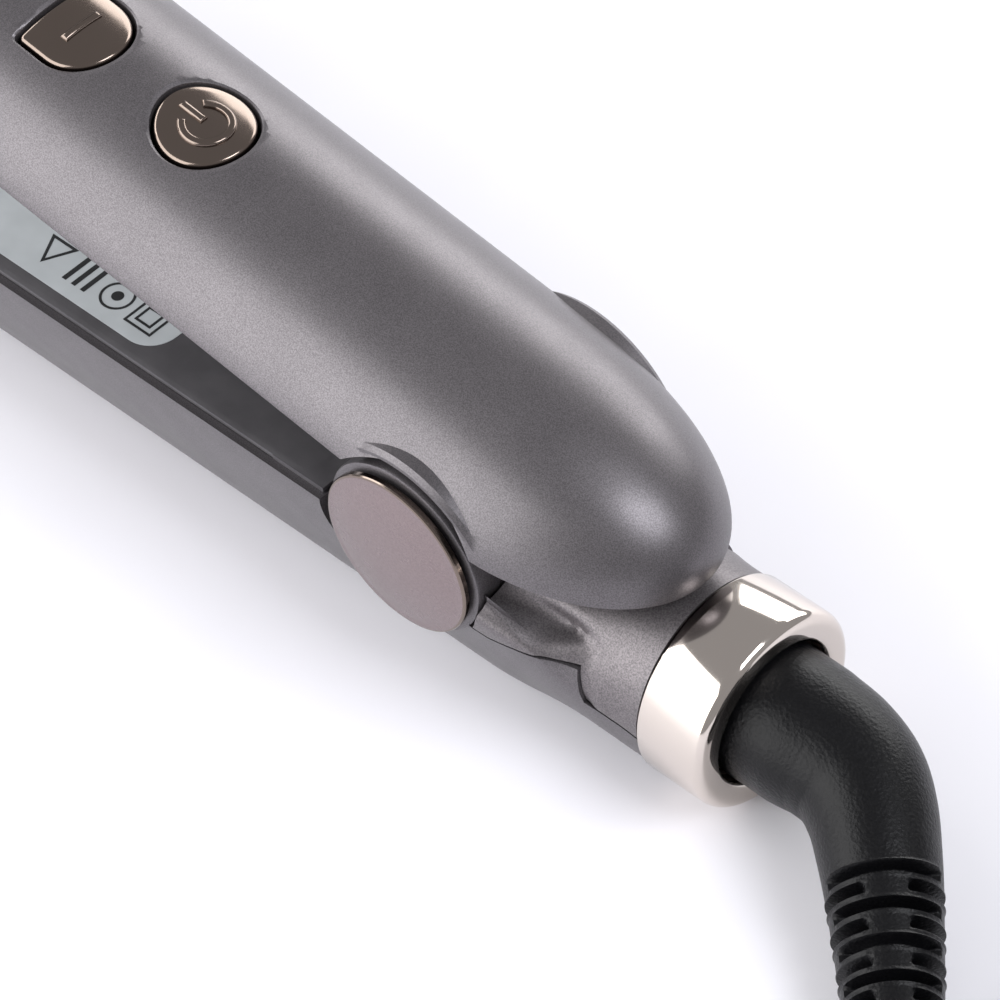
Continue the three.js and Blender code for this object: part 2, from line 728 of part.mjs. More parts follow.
/** A key's outline: a round end at x, and a flat end towards the display in direction toward. */
function keyOutline(x, toward, margin) {
  const radius = CONTROL_HALF + margin;
  const flat = x + toward * (KEY_FLAT + margin);
  const shape = new THREE.Shape();
  shape.moveTo(flat, radius);
  shape.lineTo(x, radius);
  shape.absarc(x, 0, radius, Math.PI / 2, -Math.PI / 2, toward < 0);
  shape.lineTo(flat, -radius);
  return shape;
}

/** The part of an upright post that ends flush with the upper shell's dome. */
function underDome(post) {
  return post.intersect(upperForm(0, SHELL_END));
}

function displayOutline(margin) {
  return roundedRect([DISPLAY_START - margin, DISPLAY_END + margin], CONTROL_HALF + margin, 0.8);
}

function upperOuterShell() {
  const dome = upperForm(0, SHELL_END).subtract(upperForm(WALL, SHELL_END - WALL));
  const earR = CHEEK_R + RUNNING_GAP;
  const above = block([-30, 30], [-30, 30], [TAIL_RIM + 0.6, 30]);
  const ears = [1, -1].map((side) => {
    const [low, high] = side > 0 ? [CHEEK_INNER, CHEEK_OUTER] : [-CHEEK_OUTER, -CHEEK_INNER];
    return cylinder('y', earR + 1.5, low, high, [0, 0], 48).intersect(above);
  });
  const arches = [
    cylinder('y', earR, CHEEK_INNER - RUNNING_GAP, BESIDE, [0, 0], 48),
    cylinder('y', earR, -BESIDE, -CHEEK_INNER + RUNNING_GAP, [0, 0], 48),
  ];
  const through = [UPPER_TOP - 6, UPPER_TOP + 1];
  const openings = [
    cylinder('z', POWER_R + BUTTON_CLEARANCE, ...through, [POWER_X, 0], 32),
    slab(keyOutline(MINUS_X, 1, BUTTON_CLEARANCE), through),
    slab(keyOutline(PLUS_X, -1, BUTTON_CLEARANCE), through),
    slab(displayOutline(GAP), through),
  ];
  return joined([dome, ...ears]).subtract(joined([...arches, ...openings]));
}

function upperInnerTray() {
  const low = UPPER_RIM;
  const half = UPPER_HALF - WALL - GAP - 1;
  const plate = slab(roundedRect([TRAY_START, TRAY_END], half, 3), [low, low + TRAY_THICKNESS]);
  return trayScrewPlaces().reduce(
    (tray, x) => tray.subtract(cylinder('z', SCREW_HEAD_R + GAP, low - 1, low + 3, [x, 0], 16)),
    insideUpperShell(plate),
  );
}

function trayScrewPlaces() {
  return [TRAY_START + 10, TRAY_END - 8];
}

/** The part of a solid that fits inside the upper shell's wall. */
function insideUpperShell(solid) {
  return solid.intersect(upperForm(WALL + GAP, SHELL_END));
}

/** The block that carries the upper arm: two eyes on the pin, joined by a bridge under the dome. */
function hingeBracket() {
  const half = CHEEK_INNER - RUNNING_GAP;
  const bridge = block([-5, TRAY_START - 1], [-half, half], [UPPER_RIM, UPPER_RIM + 4]);
  const webs = block([-5, 5], [-half, half], [0, UPPER_RIM + 1]);
  const eyes = cylinder('y', EYE_R, -half, half);
  const roomHalf = half - EYE_WIDTH;
  const springRoom = cylinder('y', 9, -roomHalf, roomHalf, [0, 0], 28);
  const legRoom = block([0, TRAY_START + 5], [-roomHalf, roomHalf], [-10, UPPER_RIM - 0.2]);
  const bore = cylinder('y', PIN_R + BUSH_WALL + GAP, -BESIDE, BESIDE, [0, 0], 28);
  return joined([insideUpperShell(bridge), webs, eyes]).subtract(joined([springRoom, legRoom, bore]));
}

function powerButton() {
  return underDome(cylinder('z', POWER_R, KEY_BOTTOM, UPPER_TOP + 1, [POWER_X, 0], 32));
}

function key(x, toward) {
  return underDome(slab(keyOutline(x, toward, 0), [KEY_BOTTOM, UPPER_TOP + 1]));
}

function displayWindow() {
  return underDome(slab(displayOutline(0), [UPPER_TOP - WINDOW_DEPTH, UPPER_TOP + 1]));
}

function displayModule() {
  const middle = (DISPLAY_START + DISPLAY_END) / 2;
  const half = DISPLAY_LENGTH / 2 - 1;
  return block([middle - half, middle + half], [-CONTROL_HALF, CONTROL_HALF], [
    BOARD_TOP + GAP,
    UPPER_TOP - WINDOW_DEPTH - GAP,
  ]);
}

function controlBoard() {
  const span = [POWER_X - CONTROL_BOARD_MARGIN, PLUS_X + CONTROL_BOARD_MARGIN];
  const heights = [BOARD_TOP - BOARD_THICKNESS, BOARD_TOP];
  return block(span, [-CONTROL_BOARD_HALF, CONTROL_BOARD_HALF], heights);
}

function tactSwitch(x) {
  const body = block([x - 3, x + 3], [-3, 3], [BOARD_TOP + GAP, SWITCH_TOP - 1]);
  return body.add(cylinder('z', 1.7, SWITCH_TOP - 1.5, SWITCH_TOP, [x, 0], 16));
}

function thermalFuse() {
  const height = STACK_TOP - CLAMP_GROOVE + 0.95;
  return cylinder('x', 0.8, PLATE_MIDDLE - 5, PLATE_MIDDLE + 5, [-1.5, height], 12);
}

function temperatureSensor() {
  const height = STACK_TOP - CLAMP_GROOVE + 0.85;
  return cylinder('x', 0.7, PLATE_MIDDLE + 8, PLATE_MIDDLE + 14, [1.5, height], 12);
}

// ---------------------------------------------------------------- lower handle's insides

function powerBoard() {
  const span = [POWER_BOARD_START, POWER_BOARD_START + POWER_BOARD_LENGTH];
  const heights = [POWER_BOARD_TOP - BOARD_THICKNESS, POWER_BOARD_TOP];
  return block(span, [-POWER_BOARD_HALF, POWER_BOARD_HALF], heights);
}

/** A component on the power board, placed from the board's rear end. */
function boardBlock([from, to], [y0, y1], height) {
  const span = [POWER_BOARD_START + from, POWER_BOARD_START + to];
  const low = POWER_BOARD_TOP + GAP;
  return block(span, [y0, y1], [low, low + height]);
}

// ---------------------------------------------------------------- cord

/**
 * Middle line of the strain relief, from inside the collar to where the cord leaves it. The last
 * number of each point is the share of its drop to the surface the iron rests on.
 */
const RELIEF_LINE = [
  [-38, 0, 0],
  [-42.3, 0, 0],
  [-47, 0, 0.013],
  [-51.4, 0, 0.038],
  [-55.4, 0.8, 0.115],
  [-59.1, 2.9, 0.218],
  [-62.7, 5.9, 0.359],
  [-67.3, 10.2, 0.564],
  [-75.4, 18.4, 0.846],
  [-84, 27.4, 1],
].map(([x, y, share]) => [x, y, lerp(NECK_AXIS, FLOOR + RELIEF_END_HEIGHT, share)]);

/** The cord's middle line from the strain relief to the hank, on the surface the iron rests on. */
const CORD_LINE = [
  [-84 - GAP, 27.4 + GAP, FLOOR + RELIEF_END_HEIGHT - 0.02],
  [-88.5, 31.6, FLOOR + 4.3],
  [-93.5, 35, FLOOR + CORD_R + 0.05],
  [-99.5, 37.6, FLOOR + CORD_R + 0.05],
];

function strainRelief() {
  const thickness = [
    [0, RELIEF_ROOT_R],
    [0.16, RELIEF_ROOT_R],
    [0.4, RELIEF_ROOT_R - 1.35],
    [0.6, RELIEF_ROOT_R - 2.25],
    [1, CORD_R + 1.4],
  ];
  const radiusAt = (t) => {
    const i = Math.max(1, thickness.findIndex(([at]) => at >= t));
    const [[t0, r0], [t1, r1]] = [thickness[i - 1], thickness[i]];
    return lerp(r0, r1, (t - t0) / (t1 - t0));
  };
  return taperedTube(curveThrough(RELIEF_LINE), radiusAt, 22, 20);
}

/** The shaft that the strain relief is moulded on, with the flange that keeps it in its socket. */
function swivelStem() {
  const profile = [
    [0, NECK_END - 5.5],
    [RELIEF_ROOT_R - 1, NECK_END - 5.5],
    [RELIEF_ROOT_R - 1, NECK_END - 3],
    [STEM_R, NECK_END - 3],
    [STEM_R, NECK_END + 14],
    [STEM_R - 1.5, NECK_END + 15],
    [0, NECK_END + 15],
  ];
  return turnedX(profile, NECK_AXIS, 28);
}

function swivelClip() {
  const inner = STEM_R + RUNNING_GAP / 2;
  const profile = [
    [inner, NECK_END + 12.4],
    [STEM_R + 3, NECK_END + 12.4],
    [STEM_R + 3, NECK_END + 13.2],
    [inner, NECK_END + 13.2],
  ];
  return turnedX([...profile, profile[0]], NECK_AXIS, 24);
}

/** The hank's outer outline: round folds at both ends, drawn in at the waist by the tie. */
function hankOutline() {
  const [nearX, y] = HANK_NEAR_FOLD;
  const farX = nearX - HANK_RUN;
  const fold = HANK_FOLD_R + CORD_R;
  const waist = HANK_WAIST + CORD_R;
  const middle = (nearX + farX) / 2;
  const shape = new THREE.Shape();
  const bend = HANK_RUN / 4;
  shape.moveTo(middle, y + waist);
  shape.bezierCurveTo(middle - bend, y + waist, farX + bend, y + fold, farX, y + fold);
  shape.absarc(farX, y, fold, Math.PI / 2, 1.5 * Math.PI, false);
  shape.bezierCurveTo(farX + bend, y - fold, middle - bend, y - waist, middle, y - waist);
  shape.bezierCurveTo(middle + bend, y - waist, nearX - bend, y - fold, nearX, y - fold);
  shape.absarc(nearX, y, fold, -Math.PI / 2, Math.PI / 2, false);
  shape.bezierCurveTo(nearX - bend, y + fold, middle + bend, y + waist, middle, y + waist);
  return shape;
}

const HANK_TOP = FLOOR + 2 * CORD_R + (HANK_LAYERS - 1) * LAYER_STEP;
const HANK_MIDDLE = HANK_NEAR_FOLD[0] - HANK_RUN / 2;
const HANK_Y = HANK_NEAR_FOLD[1];
const PLUG_BOTTOM = HANK_TOP + GAP;
const PLUG_AXIS = PLUG_BOTTOM + PLUG_THICKNESS / 2;

/** The cord's last stretch, which climbs off the hank into the plug's tail. */
const TAIL_LINE = [
  [HANK_MIDDLE + 41, HANK_Y + 17, HANK_TOP + CORD_R + GAP],
  [HANK_MIDDLE + 31, HANK_Y + 10, HANK_TOP + CORD_R + 1.4],
  [HANK_MIDDLE + 22, HANK_Y + 3.4, PLUG_AXIS - 0.5],
  [PLUG_X + PLUG_TAIL + 5, HANK_Y, PLUG_AXIS],
  [PLUG_X + PLUG_TAIL + GAP, HANK_Y, PLUG_AXIS],
];

function cordHank() {
  const underTie = block(
    [HANK_MIDDLE - TIE_HALF - GAP, HANK_MIDDLE + TIE_HALF + GAP],
    [HANK_Y - 60, HANK_Y + 60],
    [FLOOR - 1, FLOOR + TIE_THICKNESS + GAP],
  );
  return slab(hankOutline(), [FLOOR, HANK_TOP]).subtract(underTie);
}

function cordTie() {
  const inner = HANK_WAIST + CORD_R + 4 * GAP;
  const outer = inner + TIE_THICKNESS;
  const span = [HANK_MIDDLE - TIE_HALF, HANK_MIDDLE + TIE_HALF];
  const band = block(span, [HANK_Y - outer, HANK_Y + outer], [
    FLOOR,
    HANK_TOP + GAP + TIE_THICKNESS,
  ]);
  const room = block(
    [span[0] - 1, span[1] + 1],
    [HANK_Y - inner, HANK_Y + inner],
    [FLOOR + TIE_THICKNESS, HANK_TOP + GAP],
  );
  return band.subtract(room);
}

function plugBody() {
  const front = PLUG_X - PLUG_BODY;
  const outline = [
    [PLUG_X, HANK_Y + 8],
    [PLUG_X - PLUG_SHOULDER, HANK_Y + PLUG_HALF],
    [front + 1.5, HANK_Y + PLUG_HALF],
    [front, HANK_Y + PLUG_HALF - 1.5],
    [front, HANK_Y - PLUG_HALF + 1.5],
    [front + 1.5, HANK_Y - PLUG_HALF],
    [PLUG_X - PLUG_SHOULDER, HANK_Y - PLUG_HALF],
    [PLUG_X, HANK_Y - 8],
  ];
  const body = slab(outline, [PLUG_BOTTOM, PLUG_BOTTOM + PLUG_THICKNESS]);
  const tail = [
    [0, PLUG_X - 5],
    [6, PLUG_X - 5],
    [4.4, PLUG_X + PLUG_TAIL],
    [0, PLUG_X + PLUG_TAIL],
  ];
  return body.add(turnedX(tail, PLUG_AXIS, 16, HANK_Y));
}

function plugPin(side) {
  const root = PLUG_X - PLUG_BODY - GAP;
  const y = HANK_Y + side * PLUG_PIN_SPREAD;
  const profile = [
    [0, root - PLUG_PIN_LENGTH],
    [PLUG_PIN_R - 1, root - PLUG_PIN_LENGTH],
    [PLUG_PIN_R, root - PLUG_PIN_LENGTH + 1.4],
    [PLUG_PIN_R, root],
    [0, root],
  ];
  return turnedX(profile, PLUG_AXIS, 16, y);
}

// ---------------------------------------------------------------- the iron

const FINISHES = {
  paint: { color: '#85807f', roughness: 0.45, metalness: 0.35 },
  neckPaint: { color: '#837e7e', roughness: 0.5, metalness: 0.35 },
  trayPlastic: { color: '#4a484b', roughness: 0.6, metalness: 0.1 },
  bronzeChrome: { color: '#6b5d55', roughness: 0.15, metalness: 1 },
  satinBronze: { color: '#9d9390', roughness: 0.35, metalness: 1 },
  collarChrome: { color: '#c9beb4', roughness: 0.08, metalness: 1 },
  film: { color: '#aeb2b5', roughness: 0.4, metalness: 0.3 },
  rubber: { color: '#262628', roughness: 0.7, metalness: 0 },
  heatProof: { color: '#2d2c2e', roughness: 0.65, metalness: 0 },
  ceramicCoat: { color: '#3a3437', roughness: 0.25, metalness: 0.6 },
  ceramic: { color: '#e4e0d8', roughness: 0.7, metalness: 0 },
  aluminium: { color: '#b8babd', roughness: 0.4, metalness: 1 },
  steel: { color: '#a9abae', roughness: 0.3, metalness: 1 },
  brass: { color: '#b59a5a', roughness: 0.35, metalness: 1 },
  board: { color: '#1f5a3a', roughness: 0.6, metalness: 0 },
  part: { color: '#232323', roughness: 0.6, metalness: 0 },
  window: { color: '#0c0c0e', roughness: 0.08, metalness: 0 },
  nylon: { color: '#dcd9d0', roughness: 0.6, metalness: 0 },
};

function piece(name, solid, finish) {
  const mesh = new THREE.Mesh(geometryOf(solid), new THREE.MeshStandardMaterial(FINISHES[finish]));
  mesh.name = name;
  return mesh;
}

const iron = new THREE.Group();
const hingeFrame = new THREE.Group();
hingeFrame.position.set(REAR_OVERHANG - LENGTH / 2, 0, HINGE_HEIGHT);
iron.add(hingeFrame);

const upperArm = new THREE.Group();
upperArm.rotation.y = THREE.MathUtils.degToRad(-OPEN_ANGLE);
hingeFrame.add(upperArm);

hingeFrame.add(
  piece('lower_outer_shell', lowerOuterShell(), 'paint'),
  piece('neck_housing', neckHousing(), 'neckPaint'),
  piece('lower_inner_tray', lowerInnerTray(), 'trayPlastic'),
  piece('rating_label', ratingLabel(), 'film'),
  piece('collar_ring', collarRing(), 'collarChrome'),
  piece('swivel_socket', swivelSocket(), 'nylon'),
  piece('hinge_pin', hingePin(), 'steel'),
  piece('opening_spring', openingSpring(), 'steel'),
  piece('hinge_cap_near', hingeCap(1), 'satinBronze'),
  piece('hinge_cap_far', hingeCap(-1), 'satinBronze'),
  piece('power_board', powerBoard(), 'board'),
  piece('filter_capacitor', boardBlock([8, 24], [-8, 0], 7.4), 'part'),
  piece('relay', boardBlock([32, 46], [-5, 5], 6.4), 'part'),
  piece('board_fuse', boardBlock([56, 70], [-2, 2], 4), 'ceramic'),
  piece('lower_plate_frame', turnedOver(plateFrame(false)), 'heatProof'),
  piece('lower_heating_plate', turnedOver(heatingPlate()), 'ceramicCoat'),
  piece('lower_heater', turnedOver(heaterStrip()), 'ceramic'),
  piece('lower_heater_clamp', turnedOver(heaterClamp()), 'aluminium'),
  piece('lower_tip_cap', tipCap(lowerSection(0), LOWER_RIM, LOWER_NOSE), 'heatProof'),
);

upperArm.add(
  piece('upper_outer_shell', upperOuterShell(), 'paint'),
  piece('upper_inner_tray', upperInnerTray(), 'trayPlastic'),
  piece('hinge_bracket', hingeBracket(), 'part'),
  piece('hinge_bush_near', hingeBush(1), 'brass'),
  piece('hinge_bush_far', hingeBush(-1), 'brass'),
  piece('control_board', controlBoard(), 'board'),
  piece('switch_power', tactSwitch(POWER_X), 'part'),
  piece('switch_minus', tactSwitch(MINUS_X), 'part'),
  piece('switch_plus', tactSwitch(PLUS_X), 'part'),
  piece('display_module', displayModule(), 'part'),
  piece('display_window', displayWindow(), 'window'),
  piece('button_power', powerButton(), 'bronzeChrome'),
  piece('button_minus', key(MINUS_X, 1), 'bronzeChrome'),
  piece('button_plus', key(PLUS_X, -1), 'bronzeChrome'),
  piece('upper_plate_frame', plateFrame(true), 'heatProof'),
  piece('upper_heating_plate', heatingPlate(), 'ceramicCoat'),
  piece('upper_heater', heaterStrip(), 'ceramic'),
  piece('upper_heater_clamp', heaterClamp(), 'aluminium'),
  piece('thermal_fuse', thermalFuse(), 'steel'),
  piece('temperature_sensor', temperatureSensor(), 'brass'),
  piece('upper_tip_cap', tipCap(upperSection(0), UPPER_RIM, UPPER_NOSE), 'heatProof'),
);

springPlaces().forEach((x, i) => {
  upperArm.add(piece(`plate_spring_${['rear', 'front'][i]}`, plateSpring(x), 'steel'));
});

trayScrewPlaces().forEach((x, i) => {
  const name = `upper_tray_screw_${['rear', 'front'][i]}`;
  upperArm.add(piece(name, turnedOver(screw(x, 2 * PLATES_MEET - UPPER_RIM, 6)), 'steel'));
});

hingeFrame.add(
  piece('swivel_stem', swivelStem(), 'nylon'),
  piece('swivel_clip', swivelClip(), 'steel'),
  piece('strain_relief', strainRelief(), 'rubber'),
  piece('cord_tube', tube(curveThrough(CORD_LINE), CORD_R, 7, 10), 'rubber'),
  piece('cord_hank', cordHank(), 'rubber'),
  piece('cord_tie', cordTie(), 'rubber'),
  piece('cord_tail', tube(curveThrough(TAIL_LINE), CORD_R, 8, 10), 'rubber'),
  piece('plug_body', plugBody(), 'rubber'),
  piece('plug_pin_near', plugPin(1), 'brass'),
  piece('plug_pin_far', plugPin(-1), 'brass'),
);

export default iron;
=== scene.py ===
"""A two-arm hinged hair iron lying on a pale studio floor, seen from its cord end."""

import json
import math

import bmesh
import bpy
from mathutils import Matrix, Vector


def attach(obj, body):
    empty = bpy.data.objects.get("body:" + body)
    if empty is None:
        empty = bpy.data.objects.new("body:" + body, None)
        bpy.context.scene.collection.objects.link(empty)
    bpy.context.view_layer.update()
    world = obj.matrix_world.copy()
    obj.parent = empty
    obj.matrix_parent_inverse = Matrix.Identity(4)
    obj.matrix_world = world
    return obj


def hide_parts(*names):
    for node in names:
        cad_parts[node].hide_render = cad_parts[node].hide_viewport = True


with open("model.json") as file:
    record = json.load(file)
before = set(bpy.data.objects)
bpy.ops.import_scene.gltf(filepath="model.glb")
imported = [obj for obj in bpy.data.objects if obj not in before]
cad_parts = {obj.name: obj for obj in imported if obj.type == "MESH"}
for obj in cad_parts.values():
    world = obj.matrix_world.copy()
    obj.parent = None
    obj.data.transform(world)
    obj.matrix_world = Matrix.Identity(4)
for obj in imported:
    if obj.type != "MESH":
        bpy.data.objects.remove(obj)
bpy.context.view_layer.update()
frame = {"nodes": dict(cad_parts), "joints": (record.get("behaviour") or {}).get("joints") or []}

# ------------------------------------------------------------------ sizes, in millimetres
# The arms are drawn closed, about the middle of the hinge pin, and then put in their places.

LENGTH = 290
REAR_OVERHANG = 42.3
HINGE_HEIGHT = 24.6
WALL = 2
LOWER_HALF = 17.8
UPPER_HALF = 17.5
TIP_NARROWING = 1.9
LOWER_RIM = 1
UPPER_RIM = 9.2
TAIL_RIM = 7.9
UPPER_TOP = 20.95
UPPER_TOP_AT_TIP = 19.4
LOWER_BOTTOM_AT_TIP = -9
TAIL_LENGTH = 31.1
CAP_LENGTH = 15
CHEEK_R = 12.7
CHEEK_INNER = 12.6
CHEEK_OUTER = 16.2
BOSS_R = 11.8
DISC_R = 11
DISC_FACE = 18.7
NECK_R = 12.6
NECK_END = -32.2
COLLAR_R = 13
COLLAR_MOUTH_R = 9.3
POWER_X = 48.9
POWER_R = 6.14
MINUS_X = 69.8
KEY_HALF = 6.1
KEY_FLAT = 4.5
KEY_GAP = 6
BUTTON_GAP = 0.38
BUTTON_SINK = 0.12
MARK_WIDTH = 1.1
MARK_LENGTH = 5.8
DISPLAY_LENGTH = 20
ARCH_GAP = 0.4
TRAY_LIFT = 0.05
TRAY_TOP = 0.8
PLATES_MEET = 5.2
PLATE_HALF = 12.4
PLATE_GAP = 0.4
FRAME_MARGIN = 1.2
NECK_WALL = 5.2
SCOOP_DEPTH = 2
DIP_DEPTH = 0.5
LABEL_START = 43
LABEL_TO_TRAY_END = 29.4
LABEL_HALF = 14.8
PRINT_THICKNESS = 0.03
CORD_R = 3.5
TIE_HALF = 6
TIE_THICKNESS = 0.9
PLUG_LENGTH = 36
PLUG_HALF = 17.65
PLUG_ROOT_HALF = 8
PLUG_SHOULDER = 15
PLUG_HEIGHT = 13.7
PIN_SPACING = 18
GAP = 0.3

PAST_SIDE = UPPER_HALF + 4.5
FLOOR = -HINGE_HEIGHT
NECK_AXIS = FLOOR + COLLAR_R + 0.02
COLLAR_REAR = -REAR_OVERHANG
DISPLAY_START = MINUS_X + KEY_FLAT + KEY_GAP
DISPLAY_SPAN = (DISPLAY_START, DISPLAY_START + DISPLAY_LENGTH)
PLUS_X = DISPLAY_SPAN[1] + KEY_GAP + KEY_FLAT
TIP = LENGTH - REAR_OVERHANG
SHELL_END = TIP - CAP_LENGTH
SLIM_START = TIP - 62.7
BELLY_END = SLIM_START - 73
PLATE_SPAN = (SHELL_END - 94, SHELL_END - 4)
FRAME_SPAN = (SHELL_END - 98, SHELL_END - GAP)
TRAY_SPAN = (CHEEK_R + 2, FRAME_SPAN[0] - GAP)
FRAME_FACE = PLATES_MEET + 1
FRAME_HALF = UPPER_HALF - TIP_NARROWING - FRAME_MARGIN

# ------------------------------------------------------------------ places of the two arms

HINGE_JOINT = next(j for j in frame["joints"] if j["name"] == "arm_hinge")
HINGE = Vector(HINGE_JOINT["pos_m"])
OPEN = math.radians(HINGE_JOINT["range_deg"][1])
MILLIMETRES = Matrix.Scale(0.001, 4)
LOWER = Matrix.Translation(HINGE) @ MILLIMETRES
UPPER = Matrix.Translation(HINGE) @ Matrix.Rotation(-OPEN, 4, "Y") @ MILLIMETRES
TURNED_OVER = LOWER @ Matrix.Translation((0, 0, 2 * PLATES_MEET)) @ Matrix.Diagonal((1, 1, -1, 1))


def lerp(a, b, t):
    return a + (b - a) * t


def smooth(x, low, high):
    t = min(1, max(0, (x - low) / (high - low)))
    return t * t * (3 - 2 * t)


def spread(low, high, step):
    count = max(1, round((high - low) / step))
    return [lerp(low, high, i / count) for i in range(count + 1)]


# ------------------------------------------------------------------ camera

def make_camera():
    """Looks at the hinge from behind, above and to the iron's left, with a long lens."""
    azimuth, elevation, roll = math.radians(42.82), math.radians(47.18), math.radians(-5.08)
    back = Vector((
        -math.cos(azimuth) * math.cos(elevation),
        math.sin(azimuth) * math.cos(elevation),
        math.sin(elevation),
    ))
    right = (-back).cross(Vector((0, 0, 1))).normalized()
    up = right.cross(-back)
    across = right * math.cos(roll) + up * math.sin(roll)
    above = up * math.cos(roll) - right * math.sin(roll)
    camera = bpy.data.objects.new("camera", bpy.data.cameras.new("camera"))
    bpy.context.scene.collection.objects.link(camera)
    turn = Matrix((across, above, back)).transposed().to_4x4()
    camera.matrix_world = Matrix.Translation(HINGE + back * 0.6) @ turn
    camera.data.sensor_width = 36
    camera.data.lens = 185.7
    camera.data.shift_x = -0.0009
    camera.data.shift_y = -0.0318
    camera.data.clip_start = 0.02
    camera.data.clip_end = 20
    bpy.context.scene.camera = camera


make_camera()

# ------------------------------------------------------------------ cord

RELIEF_LINE = [
    (-38, 0, NECK_AXIS),
    (-42.3, 0, NECK_AXIS),
    (-47, 0, NECK_AXIS - 0.1),
    (-51.4, 0, NECK_AXIS - 0.3),
    (-55.4, 0.8, NECK_AXIS - 0.9),
    (-59.1, 2.9, NECK_AXIS - 1.7),
    (-62.7, 5.9, NECK_AXIS - 2.8),
    (-67.3, 10.2, NECK_AXIS - 4.4),
    (-75.4, 18.4, NECK_AXIS - 6.6),
    (-84, 27.4, NECK_AXIS - 7.8),
]
CORD_LINE = [
    (-84.3, 27.7, FLOOR + 5.2),
    (-88.5, 31.6, FLOOR + 4.3),
    (-93.5, 35, FLOOR + CORD_R + 0.05),
    (-99.5, 37.6, FLOOR + CORD_R + 0.05),
]
FOLD_X = (-128.5, -190.5)
HANK_Y = 11
HANK_MIDDLE = (FOLD_X[0] + FOLD_X[1]) / 2
LANES = {"outer": (28, 21), "inner": (21, 14)}  # half width at the folds and at the waist
LAYER_STEP = 6.6
HANK_TOP = FLOOR + 2 * CORD_R + 2 * LAYER_STEP
PLUG_X = -167
PLUG_AXIS = HANK_TOP + GAP + PLUG_HEIGHT / 2
TAIL_LINE = [
    (HANK_MIDDLE + 41, HANK_Y + 17, HANK_TOP + CORD_R + GAP),
    (HANK_MIDDLE + 31, HANK_Y + 10, HANK_TOP + CORD_R + 1.4),
    (HANK_MIDDLE + 22, HANK_Y + 3.4, PLUG_AXIS - 0.5),
    (PLUG_X + 25, HANK_Y, PLUG_AXIS),
    (PLUG_X + 20.3, HANK_Y, PLUG_AXIS),
]


def hank_turn(fold, waist):
    """One turn of the hank, from the near fold on the left, as (x, y) pairs about its middle line."""
    near, far = FOLD_X
    points = []
    for side, start, end in ((1, near, far), (-1, far, near)):
        for share in spread(0, 1, 1 / 8)[:-1]:
            points.append((lerp(start, end, share), side * lane_offset(share, fold, waist)))
        for angle in spread(side * 90, side * 90 + 180, 15)[:-1]:
            a = math.radians(angle)
            points.append((end + fold * math.cos(a), fold * math.sin(a)))
    return points


def lane_offset(share, fold, waist):
    """How far a run is from the hank's middle line, between its two folds."""
    return lerp(waist, fold, smooth(abs(2 * share - 1), 0, 1))


def hank_points():
    """Three layers of two turns: outer then inner, inner then outer, outer then inner."""
    turns = ["outer", "inner", "inner", "outer", "outer", "inner"]
    points = []
    for number, lane in enumerate(turns):
        ring = hank_turn(*LANES[lane])
        following = hank_turn(*LANES[turns[min(number + 1, 5)]])
        layer, above = number // 2, min(number + 1, 5) // 2
        for i, (here, there) in enumerate(zip(ring, following)):
            share = smooth(i / len(ring), 0.8, 1)
            x, y = (lerp(a, b, share) for a, b in zip(here, there))
            height = CORD_R + LAYER_STEP * lerp(layer, above, share)
            if layer == 0:
                height += 1.25 * (1 - smooth(abs(x - HANK_MIDDLE), 6, 14))
            points.append((x, HANK_Y + y, FLOOR + height))
    return points[:-2]


def through(points, step):
    """A smooth line through points, as evenly spaced points."""
    points = [Vector(p) for p in points]
    padded = [2 * points[0] - points[1], *points, 2 * points[-1] - points[-2]]
    fine = []
    for a, b, c, d in zip(padded, padded[1:], padded[2:], padded[3:]):
        for i in range(12):
            t = i / 12
            fine.append(0.5 * (
                2 * b + (c - a) * t + (2 * a - 5 * b + 4 * c - d) * t * t
                + (3 * b - a - 3 * c + d) * t ** 3
            ))
    fine.append(points[-1])
    lengths = [0]
    for a, b in zip(fine, fine[1:]):
        lengths.append(lengths[-1] + (b - a).length)
    count = max(2, round(lengths[-1] / step))
    line, at = [], 0
    for i in range(count + 1):
        target = lengths[-1] * i / count
        while at < len(lengths) - 2 and lengths[at + 1] < target:
            at += 1
        span = lengths[at + 1] - lengths[at]
        line.append(fine[at].lerp(fine[at + 1], (target - lengths[at]) / span if span else 0))
    return line


def make_cord():
    route = [*CORD_LINE, (-114, 38.6, FLOOR + CORD_R + 0.02), *hank_points(), *TAIL_LINE]
    line = through(route, 3.5)
    curve = bpy.data.curves.new("cord", "CURVE")
    curve.dimensions = "3D"
    spline = curve.splines.new("POLY")
    spline.points.add(len(line) - 1)
    for point, place in zip(spline.points, line):
        point.co = (*(LOWER @ place), 1)
    curve.bevel_depth = CORD_R / 1000
    curve.bevel_resolution = 5
    curve.use_fill_caps = True
    cord = bpy.data.objects.new("cord", curve)
    bpy.context.scene.collection.objects.link(cord)
    return cord


cord = make_cord()

# ------------------------------------------------------------------ materials

def linear(code):
    """An sRGB hex colour as linear red, green, blue and alpha."""
    channels = [int(code[i:i + 2], 16) / 255 for i in (1, 3, 5)]
    return (*[c / 12.92 if c <= 0.04045 else ((c + 0.055) / 1.055) ** 2.4 for c in channels], 1)


def fill(tree, node, links, values):
    """Links and sets a node's sockets."""
    for key, value in (values or {}).items():
        node.inputs[key].default_value = value
    for key, source in (links or {}).items():
        tree.links.new(source, node.inputs[key])


def add(tree, kind, links=None, values=None, **settings):
    """Adds a node with its settings, what its sockets are linked from and their values."""
    node = tree.nodes.new(kind)
    for key, value in settings.items():
        setattr(node, key, value)
    fill(tree, node, links, values)
    return node


